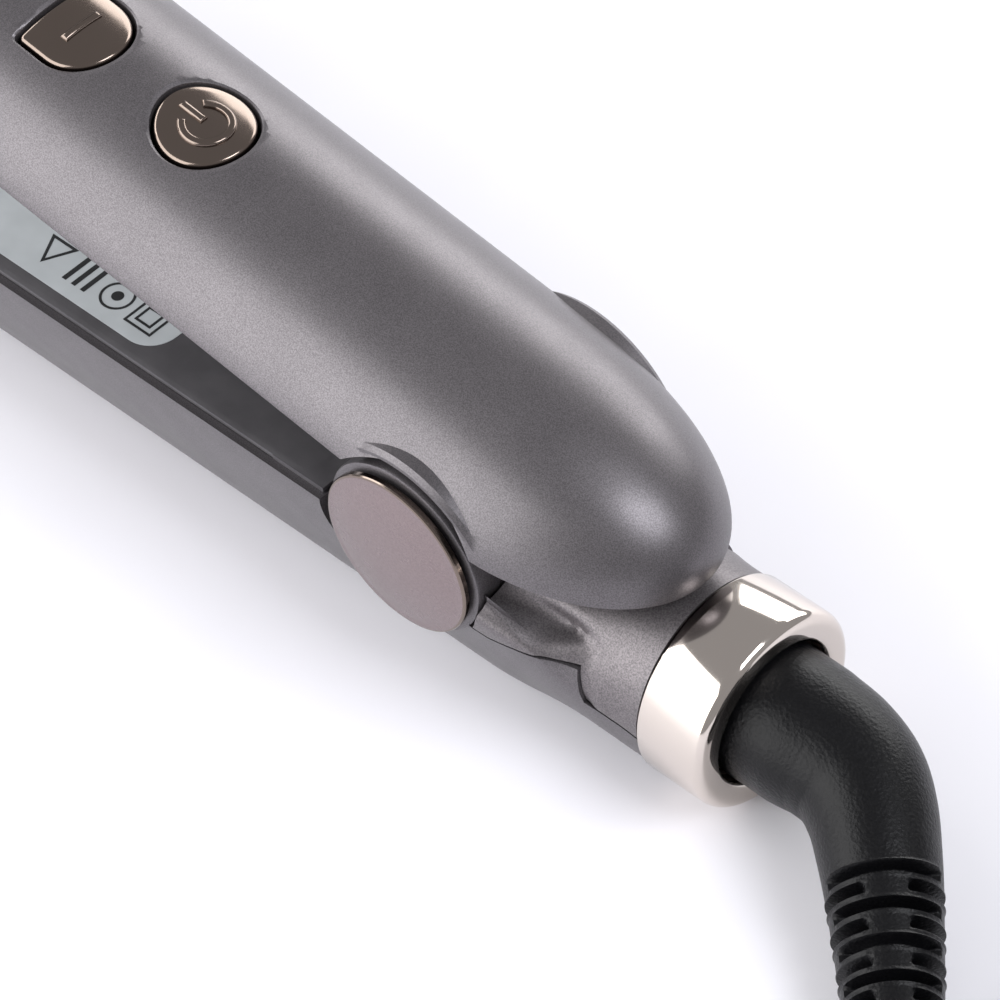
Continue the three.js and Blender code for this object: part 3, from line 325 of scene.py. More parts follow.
def new_material(name):
    """An empty material, with its shader and the object's own coordinates."""
    material = bpy.data.materials.new(name)
    material.use_nodes = True
    tree = material.node_tree
    tree.nodes.clear()
    output = add(tree, "ShaderNodeOutputMaterial")
    shader = add(tree, "ShaderNodeBsdfPrincipled")
    tree.links.new(shader.outputs["BSDF"], output.inputs["Surface"])
    place = add(tree, "ShaderNodeTexCoord").outputs["Object"]
    return material, tree, shader, place


def grain(tree, place, size, detail=2):
    """A noise whose blobs are about size millimetres across."""
    return add(
        tree, "ShaderNodeTexNoise", {"Vector": place},
        {"Scale": 1000 / size, "Detail": detail, "Roughness": 0.55},
    ).outputs["Fac"]


def between(tree, factor, low, high, edges=(0.3, 0.7)):
    """Maps a factor's middle range to the range from low to high."""
    return add(
        tree, "ShaderNodeMapRange", {"Value": factor},
        {"From Min": edges[0], "From Max": edges[1], "To Min": low, "To Max": high},
    ).outputs["Result"]


def tones(tree, factor, dark, light, edges=(0.35, 0.65)):
    """Two colours, mixed by a factor."""
    ramp = add(tree, "ShaderNodeValToRGB", {"Fac": factor})
    ramp.color_ramp.elements[0].position = edges[0]
    ramp.color_ramp.elements[0].color = linear(dark)
    ramp.color_ramp.elements[1].position = edges[1]
    ramp.color_ramp.elements[1].color = linear(light)
    return ramp.outputs["Color"]


def relief(tree, height, depth, strength=1.0):
    """A bump of depth millimetres."""
    return add(
        tree, "ShaderNodeBump", {"Height": height},
        {"Strength": strength, "Distance": depth / 1000},
    ).outputs["Normal"]


def metallic_paint(name, dark, light, roughness, flake):
    """Sprayed metallic paint: fine flakes that catch the light, on a softly pebbled satin coat."""
    material, tree, shader, place = new_material(name)
    fill(tree, shader, {
        "Base Color": tones(tree, grain(tree, place, flake), dark, light),
        "Roughness": between(tree, grain(tree, place, 6), roughness - 0.02, roughness + 0.03),
        "Normal": relief(tree, grain(tree, place, flake * 1.4), 0.012, 0.5),
    }, {"Metallic": 0.72})
    return material


def polished_metal(name, colour, roughness, smear):
    """Plated and polished metal: mirror sharp, with a faint variation from handling."""
    material, tree, shader, place = new_material(name)
    fill(tree, shader, {
        "Roughness": between(tree, grain(tree, place, 3.5, 3), roughness, roughness + smear),
        "Normal": relief(tree, grain(tree, place, 5), 0.01, 0.15),
    }, {"Base Color": linear(colour), "Metallic": 1})
    return material


def satin_metal(name, dark, light, roughness, size=0.25):
    """Blasted metal: a fine even tooth that spreads its reflections."""
    material, tree, shader, place = new_material(name)
    tooth = grain(tree, place, size)
    fill(tree, shader, {
        "Base Color": tones(tree, tooth, dark, light),
        "Roughness": between(tree, grain(tree, place, 4), roughness - 0.03, roughness + 0.04),
        "Normal": relief(tree, tooth, 0.006, 0.4),
    }, {"Metallic": 1})
    return material


def moulded_plastic(name, dark, light, roughness, size=0.35, depth=0.02):
    """Injection-moulded plastic with a spark-eroded grain."""
    material, tree, shader, place = new_material(name)
    texture = grain(tree, place, size)
    fill(tree, shader, {
        "Base Color": tones(tree, grain(tree, place, 5), dark, light),
        "Roughness": between(tree, texture, roughness - 0.05, roughness + 0.05),
        "Normal": relief(tree, texture, depth, 0.6),
    }, {})
    return material


def wrinkled_rubber(name, dark, light, roughness, size, depth):
    """Soft PVC moulded against a leather-grained tool: small raised pads between fine creases."""
    material, tree, shader, place = new_material(name)
    pads = add(
        tree, "ShaderNodeTexVoronoi", {"Vector": place},
        {"Scale": 1000 / size, "Randomness": 1.0}, feature="F1",
    ).outputs["Distance"]
    fine = grain(tree, place, size * 0.45, 3)
    height = add(tree, "ShaderNodeMath", {0: pads, 1: fine}, operation="ADD").outputs["Value"]
    fill(tree, shader, {
        "Base Color": tones(tree, fine, dark, light),
        "Roughness": between(tree, fine, roughness - 0.06, roughness + 0.08),
        "Normal": relief(tree, height, depth, 0.8),
    }, {"Specular IOR Level": 0.2})
    return material


def ceramic_coating():
    """Tourmaline-loaded ceramic enamel on the plates: dark, glossy, with sparse bright specks."""
    material, tree, shader, place = new_material("tourmaline_ceramic_enamel")
    cells = add(
        tree, "ShaderNodeTexVoronoi", {"Vector": place}, {"Scale": 1000 / 0.5}, feature="F1"
    ).outputs["Distance"]
    fill(tree, shader, {
        "Base Color": tones(tree, cells, "#8d8087", "#39333a", (0.08, 0.22)),
        "Roughness": between(tree, grain(tree, place, 8), 0.16, 0.24),
    }, {"Metallic": 0.35, "Coat Weight": 0.5, "Coat Roughness": 0.08})
    return material


# The shells' paint: a soft grey mauve that sparkles only close to a highlight.
BODY_PAINT = metallic_paint("satin_mauve_metallic_paint", "#5a5759", "#726e71", 0.38, 0.16)
# The neck's paint: a lighter and coarser coat that parts it from the shells.
NECK_PAINT = metallic_paint("neck_mauve_metallic_paint", "#5e5a5c", "#7c7779", 0.44, 0.2)
# The trays: dull, lightly grained charcoal plastic. The colour is darkened further as painted shade from
# the upper arm, so they sink back between the arms.
TRAY_ABS_AND_PAINTED_SHADE = moulded_plastic("charcoal_tray_abs_and_painted_shade", "#454346", "#4d4b4e", 0.5)
# Buttons and disc rims: a warm dark mirror, and a blasted face of the same bronze.
BRONZE_CHROME = polished_metal("dark_bronze_chrome_plate", "#7c7068", 0.13, 0.05)
DISC_BRONZE = satin_metal("satin_bronze_disc_plate", "#86797a", "#8f8282", 0.27)
# The collar: the brightest piece, with crisp bands of light and dark round it.
NICKEL = polished_metal("warm_black_nickel_plate", "#d2c9c1", 0.06, 0.04)
# The label: a cool pale film with flat black print.
LABEL_FILM = moulded_plastic("silver_label_film", "#b4b9bc", "#bcc1c4", 0.4, 0.3, 0.004)
INK = moulded_plastic("black_label_ink", "#17181a", "#1d1e20", 0.5, 0.3, 0.004)
# Relief and cord: deep black with a leathery grain, and a duller, smoother black.
RELIEF_RUBBER = wrinkled_rubber("grained_black_pvc", "#08080a", "#0e0e10", 0.36, 0.5, 0.05)
CORD_PVC = moulded_plastic("black_cord_pvc", "#1d1d20", "#26262a", 0.48, 0.5, 0.015)
# The hot end: dull black frames round dark, glossy, speckled plates.
HEAT_PPS = moulded_plastic("heatproof_black_pps", "#2a292b", "#343235", 0.5, 0.4, 0.02)
PLATE_ENAMEL = ceramic_coating()
# Inner parts, seen in the gap between the arms: bare metals, boards and nylon.
STEEL = satin_metal("bright_steel", "#a4a6a9", "#b2b4b7", 0.28)
BRASS = satin_metal("drawn_brass", "#b0955a", "#bfa566", 0.25)
ALUMINIUM = satin_metal("pressed_aluminium", "#b0b2b5", "#bfc1c4", 0.35)
BOARD = moulded_plastic("green_solder_mask", "#1c5236", "#235f40", 0.35, 0.6, 0.01)
BLACK_PART = moulded_plastic("black_nylon", "#202022", "#29292b", 0.5)
ALUMINA = moulded_plastic("white_alumina", "#dad6cd", "#e6e2da", 0.6)
NATURAL_NYLON = moulded_plastic("natural_nylon", "#d2cec2", "#dfdbd0", 0.5)
# The display: a near-black glossy window.
WINDOW = moulded_plastic("smoked_polycarbonate", "#0b0b0d", "#111114", 0.08, 4, 0.003)

INNER_FINISHES = [
    (NATURAL_NYLON, ["swivel_socket", "swivel_stem"]),
    (STEEL, ["swivel_clip", "hinge_pin", "opening_spring", "thermal_fuse", "plate_spring_rear",
        "plate_spring_front", "upper_tray_screw_rear", "upper_tray_screw_front"]),
    (BOARD, ["power_board", "control_board"]),
    (BLACK_PART, ["filter_capacitor", "relay", "hinge_bracket", "switch_power", "switch_minus",
        "switch_plus", "display_module"]),
    (ALUMINA, ["board_fuse", "lower_heater", "upper_heater"]),
    (ALUMINIUM, ["lower_heater_clamp", "upper_heater_clamp"]),
    (BRASS, ["hinge_bush_near", "hinge_bush_far", "temperature_sensor"]),
]
for finish, node_names in INNER_FINISHES:
    for node_name in node_names:
        node = frame["nodes"][node_name]
        if not node.material_slots:
            node.data.materials.append(finish)
        for held in node.material_slots:
            held.material = finish

# ------------------------------------------------------------------ making shapes

def sheet_over(rows, columns, place):
    """A grid laid over a form, where place(row, column) gives each corner. Meeting edges join."""
    bm = bmesh.new()
    bmesh.ops.create_grid(bm, x_segments=columns, y_segments=rows, size=1)
    for vert in bm.verts:
        row = round((vert.co.y + 1) / 2 * rows)
        column = round((vert.co.x + 1) / 2 * columns)
        vert.co = place(row, column)
    bmesh.ops.remove_doubles(bm, verts=bm.verts, dist=1e-3)
    bmesh.ops.recalc_face_normals(bm, faces=bm.faces)
    return bm


def turned(profile, axis, centre=(0, 0, 0), steps=96):
    """A profile of (radius, height) pairs, spun about an axis through centre."""
    bm = bmesh.new()
    corners = [bm.verts.new((radius, 0, height)) for radius, height in profile]
    for a, b in zip(corners, corners[1:]):
        bm.edges.new((a, b))
    bmesh.ops.spin(
        bm, geom=[*bm.verts, *bm.edges], axis=(0, 0, 1), cent=(0, 0, 0),
        angle=2 * math.pi, steps=steps, use_merge=True,
    )
    bmesh.ops.remove_doubles(bm, verts=bm.verts, dist=1e-3)
    bmesh.ops.recalc_face_normals(bm, faces=bm.faces)
    turn = Vector((0, 0, 1)).rotation_difference(Vector(axis)).to_matrix().to_4x4()
    bmesh.ops.transform(bm, matrix=Matrix.Translation(centre) @ turn, verts=bm.verts)
    return bm


def prism(outline, low, high):
    """An outline seen from above, of (x, y) pairs, raised from low to high."""
    bm = bmesh.new()
    face = bm.faces.new([bm.verts.new((x, y, low)) for x, y in outline])
    raised = bmesh.ops.extrude_face_region(bm, geom=[face])["geom"]
    lifted = [part for part in raised if isinstance(part, bmesh.types.BMVert)]
    bmesh.ops.translate(bm, vec=(0, 0, high - low), verts=lifted)
    bmesh.ops.recalc_face_normals(bm, faces=bm.faces)
    return bm


def side_prism(outline, low, high):
    """An outline seen from the side, of (x, z) pairs, carried across from y low to y high."""
    bm = prism([(x, -z) for x, z in outline], low, high)
    bmesh.ops.transform(bm, matrix=Matrix.Rotation(-math.pi / 2, 4, "X"), verts=bm.verts)
    return bm


def drum(axis, radius, low, high, centre=(0, 0, 0), steps=96):
    return turned([(0, low), (radius, low), (radius, high), (0, high)], axis, centre, steps)


def side_drums(radius, low, high):
    """Drums on both sides of the middle plane, between two distances from it."""
    return merged(*[drum((0, side, 0), radius, low, high) for side in (1, -1)])


def eased(bm, width, segments=3, angle=40, where=lambda edge: True):
    """Rounds the edges that are sharper than an angle."""
    limit = math.radians(angle)
    sharp = [
        edge for edge in bm.edges
        if len(edge.link_faces) == 2 and edge.calc_face_angle() > limit and where(edge)
    ]
    if sharp:
        bmesh.ops.bevel(
            bm, geom=sharp, offset=width, offset_type="OFFSET", segments=segments,
            profile=0.5, affect="EDGES", clamp_overlap=True, material=-1,
        )
    return bm


def edges_above(height):
    """Picks the edges that lie above a height."""
    return lambda edge: all(vert.co.z > height for vert in edge.verts)


def circle(radius, centre=(0, 0), count=64):
    turns = [2 * math.pi * i / count for i in range(count)]
    return [(centre[0] + radius * math.cos(a), centre[1] + radius * math.sin(a)) for a in turns]


def rounded_rect(span, half, corner, steps=8):
    points = []
    corners = [
        (span[1] - corner, half - corner, 0),
        (span[0] + corner, half - corner, 90),
        (span[0] + corner, corner - half, 180),
        (span[1] - corner, corner - half, 270),
    ]
    for x, y, start in corners:
        for i in range(steps + 1):
            a = math.radians(start + 90 * i / steps)
            points.append((x + corner * math.cos(a), y + corner * math.sin(a)))
    return points


def key_outline(x, toward, margin=0):
    """A key's outline: a round end at x, and a flat end towards the display."""
    radius, flat, corner = KEY_HALF + margin, KEY_FLAT + margin, 0.7
    points = []
    for i in range(49):
        a = math.radians(90 + 180 * i / 48)
        points.append((x + toward * radius * math.cos(a), radius * math.sin(a)))
    for side in (-1, 1):
        for i in range(5):
            a = math.radians(90 * (i / 4 if side > 0 else 1 - i / 4))
            away = corner * (1 - math.sin(a))
            drop = corner * (1 - math.cos(a))
            points.append((x + toward * (flat - drop), side * (radius - away)))
        if side < 0:
            along = spread(corner - radius, radius - corner, 0.8)[1:-1]
            points += [(x + toward * flat, y) for y in along]
    return points if toward > 0 else points[::-1]


def object_from(bm, name):
    mesh = bpy.data.meshes.new(name)
    bm.to_mesh(mesh)
    bm.free()
    made = bpy.data.objects.new(name, mesh)
    bpy.context.scene.collection.objects.link(made)
    return made


def combined(bm, tools, operation):
    """A form cut by, joined to or kept inside other forms."""
    for tool in tools:
        body = object_from(bm, "body")
        other = object_from(tool, "tool")
        cut = body.modifiers.new("cut", "BOOLEAN")
        cut.operation = operation
        cut.solver = "EXACT"
        cut.object = other
        result = body.evaluated_get(bpy.context.evaluated_depsgraph_get())
        bm = bmesh.new()
        bm.from_mesh(result.to_mesh())
        result.to_mesh_clear()
        for spare in (body, other):
            mesh = spare.data
            bpy.data.objects.remove(spare)
            bpy.data.meshes.remove(mesh)
    return bm


def merged(*forms):
    """Separate closed forms in one mesh."""
    whole = forms[0]
    for form in forms[1:]:
        mesh = bpy.data.meshes.new("form")
        form.to_mesh(mesh)
        form.free()
        whole.from_mesh(mesh)
        bpy.data.meshes.remove(mesh)
    return whole


def piece(name, bm, body, materials, place=LOWER, stands_for=(), sharp=35, finish_by=None):
    """Puts a form in its place as a piece that rides on a body."""
    bmesh.ops.transform(bm, matrix=place, verts=bm.verts)
    if place.determinant() < 0:
        bmesh.ops.reverse_faces(bm, faces=bm.faces)
    if finish_by:
        for face in bm.faces:
            face.material_index = finish_by(face)
    made = object_from(bm, name)
    for material in materials if isinstance(materials, list) else [materials]:
        made.data.materials.append(material)
    made.data.shade_smooth()
    made.data.set_sharp_from_angle(angle=math.radians(sharp))
    if stands_for:
        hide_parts(*stands_for)
    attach(made, body)
    return made


# ------------------------------------------------------------------ the arms' forms

def narrowing(x):
    return TIP_NARROWING * smooth(x, BELLY_END, TIP)


def dome_top(x):
    return lerp(UPPER_TOP, UPPER_TOP_AT_TIP, smooth(x, BELLY_END, TIP))


def upper_rim(x):
    return lerp(TAIL_RIM, UPPER_RIM, smooth(x, -14, 2))


def tail_share(x, inset):
    t = min(1, max(0, -x / (TAIL_LENGTH - inset)))
    return math.sqrt(max(0, 1 - t ** 2.3))


def dome_point(x, side, inset=0):
    """A point on the upper arm's dome: side runs from -1 to 1 across it."""
    share = tail_share(x, inset)
    rim = upper_rim(x)
    if share < 1e-4:
        return Vector((x, 0, rim))
    half = (UPPER_HALF - narrowing(x) - inset) * share
    height = (dome_top(x) - rim - inset) * share
    radius = (half * half + height * height) / (2 * height)
    angle = side * math.asin(min(1, half / radius))
    return Vector((x, radius * math.sin(angle), rim + height - radius + radius * math.cos(angle)))


def dome_height(x, y):
    """How high the dome is over a point of its middle part."""
    half, height = UPPER_HALF - narrowing(x), dome_top(x) - upper_rim(x)
    radius = (half * half + height * height) / (2 * height)
    return upper_rim(x) + height - radius + math.sqrt(max(0, radius * radius - y * y))


def upper_form():
    """The upper shell: a dome with a rounded tail, and its lining a wall's thickness inside."""
    tail = [-math.sin(math.radians(a)) for a in spread(90, 0, -90 / 36)]
    along = [*spread(1.2, 84, 1.2), *spread(86, SHELL_END, 2.6)]
    outer, lining = 72, 40

    def place(row, column):
        inside = outer < column <= outer + 1 + lining
        inset = WALL if inside else 0
        x = tail[row] * (TAIL_LENGTH - inset) if row < len(tail) else along[row - len(tail)]
        if column <= outer:
            return dome_point(x, 1 - 2 * column / outer)
        if inside:
            return dome_point(x, -1 + 2 * (column - outer - 1) / lining, inset)
        return dome_point(x, 1)

    return sheet_over(len(tail) + len(along) - 1, outer + lining + 2, place)


FLANK = ((1, 0), (1, 0.2), (0.62, 1), (0.34, 1))


def flank(t):
    weights = ((1 - t) ** 3, 3 * t * (1 - t) ** 2, 3 * t * t * (1 - t), t ** 3)
    return [sum(w * p[i] for w, p in zip(weights, FLANK)) for i in (0, 1)]


def underside(s):
    """The underside's shares of half width and depth, from the left rim to the right one."""
    reach = 6 / 13
    if s <= reach:
        return flank(s / reach)
    if s >= 1 - reach:
        across, down = flank((1 - s) / reach)
        return -across, down
    return lerp(0.34, -0.34, (s - reach) / (1 - 2 * reach)), 1


def lower_bottom(x):
    return lerp(FLOOR, LOWER_BOTTOM_AT_TIP, smooth(x, BELLY_END, SLIM_START))


def lower_point(x, s, inset, over):
    """A point round the lower arm: s from 0 to 1 is the underside, and on to 2 is the top."""
    half = LOWER_HALF - narrowing(x) - inset
    depth = LOWER_RIM - lower_bottom(x) - inset
    if s <= 1:
        across, down = underside(s)
        tub = (half * across, LOWER_RIM - depth * down)
        angle = -math.pi * s
    else:
        tub = (half * (2 * (s - 1) - 1), LOWER_RIM + over)
        angle = math.pi * (2 - s)
    radius = NECK_R - inset
    neck = (radius * math.cos(angle), NECK_AXIS + radius * math.sin(angle))
    share = 1 - smooth(x, NECK_END + 2, -7)
    return Vector((x, lerp(tub[0], neck[0], share), lerp(tub[1], neck[1], share)))


def lower_form(inset, rear, front):
    """The solid of the lower arm, inset by a wall, with flat ends."""
    stations = [x for x in [*spread(-32, 14, 0.8), *spread(17, 112, 5), *spread(115, 234, 3)]
                if rear < x < front]
    stations = [rear, rear, *stations, front, front]
    under, top = 84, 24
    last = len(stations) - 1

    def place(row, column):
        x = stations[row]
        if row in (0, last):
            return Vector((x, 0, lerp(NECK_AXIS, LOWER_RIM - 5, smooth(x, -30, 0))))
        s = column / under if column <= under else 1 + (column - under) / top
        over = 0 if inset == 0 else lerp(-inset, inset, smooth(x, -10, -6))
        return lower_point(x, s, inset, over)

    return sheet_over(last, under + top, place)


def seam_outline(drop):
    """The line of the stepped seam, from above the hinge down and back to the collar."""
    heights = [
        (-9.8, 5.3), (-12.5, 4.9), (-16, 5.5), (-19.5, 5.7), (-23.6, 5.0), (-23.8, 4.0),
        (-24.7, 0.45), (-28.3, -0.4), (NECK_END, -0.8), (NECK_END - 20, -0.8),
    ]
    return [(-9.8, CHEEK_R + 5), *[(x, NECK_AXIS + height - drop) for x, height in heights]]


def below_seam(drop):
    outline = [(NECK_END - 20, FLOOR - 5), (SHELL_END + 5, FLOOR - 5), (SHELL_END + 5, CHEEK_R + 5)]
    return side_prism([*outline, *seam_outline(drop)], -30, 30)


# ------------------------------------------------------------------ upper arm

def raised_face(bm, face):
    """Extrudes a face and gives the new one, without leaving the old one inside."""
    raised = bmesh.ops.extrude_face_region(bm, geom=[face])["geom"]
    bmesh.ops.delete(bm, geom=[face], context="FACES_ONLY")
    return next(part for part in raised if isinstance(part, bmesh.types.BMFace))


def flared_opening(outline, lip=0.55):
    """A cutter for an opening in the dome whose edge is rolled in."""
    bm = prism(outline, UPPER_TOP - 7, UPPER_TOP - 1)
    top = max(bm.faces, key=lambda f: f.calc_center_median().z)
    centre = top.calc_center_median()
    for vert in top.verts:
        vert.co.z = dome_height(vert.co.x, vert.co.y) - lip
    for share, rise in ((0.25, 0.55), (1.0, 0.4), (0.2, 8.0)):
        top = raised_face(bm, top)
        for vert in top.verts:
            away = Vector((vert.co.x - centre.x, vert.co.y - centre.y, 0)).normalized()
            vert.co += away * lip * share
            vert.co.z += lip * rise
    bmesh.ops.recalc_face_normals(bm, faces=bm.faces)
    return bm


def upper_outer_shell():
    shell = upper_form()
    eased(shell, 0.35, 3, 55)
    arch_r = CHEEK_R + ARCH_GAP
    low, high = CHEEK_INNER - ARCH_GAP, CHEEK_OUTER + 0.1
    arches = side_drums(arch_r, low, PAST_SIDE)
    ear = [
        (arch_r, low), (arch_r, high - 0.5), (arch_r + 0.5, high), (arch_r + 1.0, high),
        (arch_r + 1.5, high - 0.6), (arch_r + 1.5, low), (arch_r, low),
    ]
    ears = merged(*[turned(ear, (0, side, 0)) for side in (1, -1)])
    over_rim = prism(bar_mark(0, 0, 4 * BOSS_R, 4 * BOSS_R), TAIL_RIM + 0.7, 2 * UPPER_TOP)
    ears = combined(ears, [over_rim], "INTERSECT")
    openings = [
        flared_opening(circle(POWER_R + BUTTON_GAP, (POWER_X, 0), 72)),
        flared_opening(key_outline(MINUS_X, 1, BUTTON_GAP)),
        flared_opening(key_outline(PLUS_X, -1, BUTTON_GAP)),
        prism(rounded_rect((DISPLAY_SPAN[0] - GAP, DISPLAY_SPAN[1] + GAP), KEY_HALF + GAP, 0.8),
              UPPER_TOP - 6, UPPER_TOP + 1),
    ]
    shell = combined(shell, [arches, *openings], "DIFFERENCE")
    shell = combined(shell, [ears], "UNION")
    piece("upper_shell", shell, "upper_arm", BODY_PAINT, UPPER, ["upper_outer_shell"])


def domed_button(outline, rings=7):
    """A button whose face follows the dome, with a rolled edge."""
    low, high = UPPER_TOP - 4.2, UPPER_TOP
    bm = prism(outline, low, high)
    eased(bm, 0.5, 4, 60, edges_above(high - 0.01))
    top = max(bm.faces, key=lambda f: f.calc_area() if f.normal.z > 0.9 else 0)
    centre = top.calc_center_median()
    for left in range(rings, 0, -1):
        top = raised_face(bm, top)
        for vert in top.verts:
            vert.co = centre.lerp(vert.co, left / (left + 1))
    bmesh.ops.poke(bm, faces=[top])
    for vert in bm.verts:
        if vert.co.z > low + 1:
            vert.co.z += dome_height(vert.co.x, vert.co.y) - UPPER_TOP - BUTTON_SINK
    return bm


def raised_mark(outline, lift=0.42, shoulder=0.4):
    """A low mark with round shoulders that stands out of a button's face by lift."""
    bm = prism(outline, 0, 1)
    eased(bm, shoulder, 4, 60, edges_above(0.9))
    for vert in bm.verts:
        height = -0.5
        if vert.co.z > 0.5:
            height = lerp(-0.05, lift, (vert.co.z - 1 + shoulder) / shoulder)
        vert.co.z = dome_height(vert.co.x, vert.co.y) - BUTTON_SINK + height
    return bm


def ring_mark(centre, radius, width, start, end):
    """An arc-shaped stroke seen from above."""
    angles = [math.radians(a) for a in spread(start, end, 8)]
    edges = ((radius + width / 2, angles), (radius - width / 2, angles[::-1]))
    return [(centre + r * math.cos(a), r * math.sin(a)) for r, turns in edges for a in turns]


def bar_mark(x, y, long_x, long_y):
    """A bar's outline, with corners close enough to follow the dome."""
    left, right, low, high = x - long_x / 2, x + long_x / 2, y - long_y / 2, y + long_y / 2
    return [
        *[(a, low) for a in spread(left, right, 0.6)[:-1]],
        *[(right, b) for b in spread(low, high, 0.6)[:-1]],
        *[(a, high) for a in spread(right, left, -0.6)[:-1]],
        *[(left, b) for b in spread(high, low, -0.6)[:-1]],
    ]


def buttons():
    across, along = (MARK_WIDTH, MARK_LENGTH), (MARK_LENGTH, MARK_WIDTH)
    power_marks = [
        ring_mark(POWER_X - 0.2, 3.0, MARK_WIDTH, 35, 325),
        bar_mark(POWER_X + 2.1, 0, 3.8, MARK_WIDTH),
    ]
    keys = (
        ("power", circle(POWER_R, (POWER_X, 0), 72), power_marks),
        ("minus", key_outline(MINUS_X, 1), [bar_mark(MINUS_X, 0, *across)]),
        ("plus", key_outline(PLUS_X, -1), [bar_mark(PLUS_X, 0, *across), bar_mark(PLUS_X, 0, *along)]),
    )
    for name, outline, marks in keys:
        button = merged(domed_button(outline), *[raised_mark(mark) for mark in marks])
        piece(f"{name}_button", button, f"{name}_key", BRONZE_CHROME, UPPER,
              [f"button_{name}"])


def display_window():
    outline = rounded_rect(DISPLAY_SPAN, KEY_HALF, 0.8)
    bm = prism(outline, UPPER_TOP - 3.5, UPPER_TOP)
    eased(bm, 0.25, 2, 60, edges_above(UPPER_TOP - 0.01))
    top = max(bm.faces, key=lambda f: f.calc_area() if f.normal.z > 0.9 else 0)
    bmesh.ops.triangulate(bm, faces=[top])
    flat = [f for f in bm.faces if f.normal.z > 0.9]
    edges = list({e for f in flat for e in f.edges if e.calc_length() > 3})
    bmesh.ops.subdivide_edges(bm, edges=edges, cuts=7, use_grid_fill=True)
    for vert in bm.verts:
        if vert.co.z > UPPER_TOP - 1:
            vert.co.z += dome_height(vert.co.x, vert.co.y) - UPPER_TOP - 0.05
    piece("display_cover", bm, "upper_arm", WINDOW, UPPER, ["display_window"])


def inner_trays():
    low, high = LOWER_RIM + TRAY_LIFT, LOWER_RIM + TRAY_TOP
    lower = prism(rounded_rect(TRAY_SPAN, LOWER_HALF - 1, 3), low, high)
    eased(lower, 0.25, 2, 60)
    under = prism(
        rounded_rect(TRAY_SPAN, LOWER_HALF - WALL - 0.6, 3), LOWER_RIM - TRAY_TOP, LOWER_RIM + 0.1
    )
    rear = (BOSS_R + 0.6, TRAY_SPAN[0] + 6)
    ends = [
        prism(bar_mark(sum(rear) / 2, side * 14, rear[1] - rear[0], 5.6), low, high - 0.05)
        for side in (1, -1)
    ]
    lower = merged(combined(lower, ends, "UNION"), under)
    piece("lower_tray", lower, "lower_arm", TRAY_ABS_AND_PAINTED_SHADE, LOWER, ["lower_inner_tray"])
    upper = prism(rounded_rect(TRAY_SPAN, UPPER_HALF - WALL - 1.3, 3), UPPER_RIM, UPPER_RIM + 1.6)
    eased(upper, 0.3, 2, 60)
    holes = [
        drum((0, 0, 1), 2.7, 0, 20, (x, 0, 0), 32) for x in (TRAY_SPAN[0] + 10, TRAY_SPAN[1] - 8)
    ]
    upper = combined(upper, holes, "DIFFERENCE")
    piece("upper_tray", upper, "upper_arm", TRAY_ABS_AND_PAINTED_SHADE, UPPER, ["upper_inner_tray"])


# ------------------------------------------------------------------ lower arm

def cheek(side):
    """A boss beside the handle that carries the hinge disc."""
    return turned([
        (0, CHEEK_INNER), (BOSS_R, CHEEK_INNER), (BOSS_R, CHEEK_OUTER - 0.4),
        (BOSS_R - 0.12, CHEEK_OUTER - 0.12), (BOSS_R - 0.4, CHEEK_OUTER), (0, CHEEK_OUTER),
    ], (0, side, 0))


def boss_wall(side):
    """The neck's front wall, which carries the boss's round side on inwards."""
    low, high = (8, CHEEK_INNER - 0.1) if side > 0 else (-CHEEK_INNER + 0.1, -8)
    ring = drum((0, 1, 0), BOSS_R, low, high)
    inner = drum((0, 1, 0), BOSS_R - 1.6, low - 1, high + 1)
    behind = side_prism([(-20, -9.5), (-8, -9.5), (-8, 1.6), (-20, 1.6)], -20, 20)
    return combined(combined(ring, [inner], "DIFFERENCE"), [behind], "INTERSECT")


def lower_outer_shell():
    shell = combined(lower_form(0, NECK_END, SHELL_END), [below_seam(0.15)], "INTERSECT")
    shell = combined(shell, [lower_form(WALL, NECK_END - 1, SHELL_END - WALL)], "DIFFERENCE")
    seats = side_drums(BOSS_R + GAP, CHEEK_OUTER - 0.02, PAST_SIDE)
    shell = combined(shell, [seats], "DIFFERENCE")
    shell = combined(shell, [cheek(1), cheek(-1)], "UNION")
    piece("lower_shell", shell, "lower_arm", BODY_PAINT, LOWER, ["lower_outer_shell"])


def dent(x, y, z):
    """How deep the neck's side is hollowed: a scoop under the tail, running out before the collar."""
    upper = lerp(-0.7, -3.7, (x + 15.4) / -10.1)
    lower = upper - 3.2 * smooth(x, -26, -17.5)
    t = (z - lower) / max(0.3, upper - lower)
    scoop = SCOOP_DEPTH * (1 - smooth(t, 0.78, 1.1)) * smooth(t, -0.2, 0.7) * smooth(x, -25.8, -20.5)
    dip = DIP_DEPTH * smooth(x, -21, -24.4) * (1 - smooth(-x, 25.1, 26.2))
    dip *= 1 - smooth(z, upper - 0.5, upper + 0.6)
    return (scoop + dip) * smooth(abs(y), 5, 8)


def neck_form():
    """The neck's solid, with a scoop in each side."""
    stations = [NECK_END, *spread(NECK_END, -9, 0.45), -9]
    under, top = 132, 60
    last = len(stations) - 1

    def place(row, column):
        x = stations[row]
        if row in (0, last):
            return Vector((x, 0, lerp(NECK_AXIS, LOWER_RIM - 5, smooth(x, -30, 0))))
        s = column / under if column <= under else 1 + (column - under) / top
        point = lower_point(x, s, 0, 0)
        depth = dent(x, point.y, point.z)
        inward = Vector((0, -point.y, NECK_AXIS - point.z)).normalized()
        return point + inward * depth

    bm = sheet_over(last, under + top, place)
    inner = [v for v in bm.verts if NECK_END + 1 < v.co.x < -9.5]
    for _ in range(4):
        bmesh.ops.smooth_vert(bm, verts=inner, factor=0.5, use_axis_x=True, use_axis_y=True,
                              use_axis_z=True)
    return bm


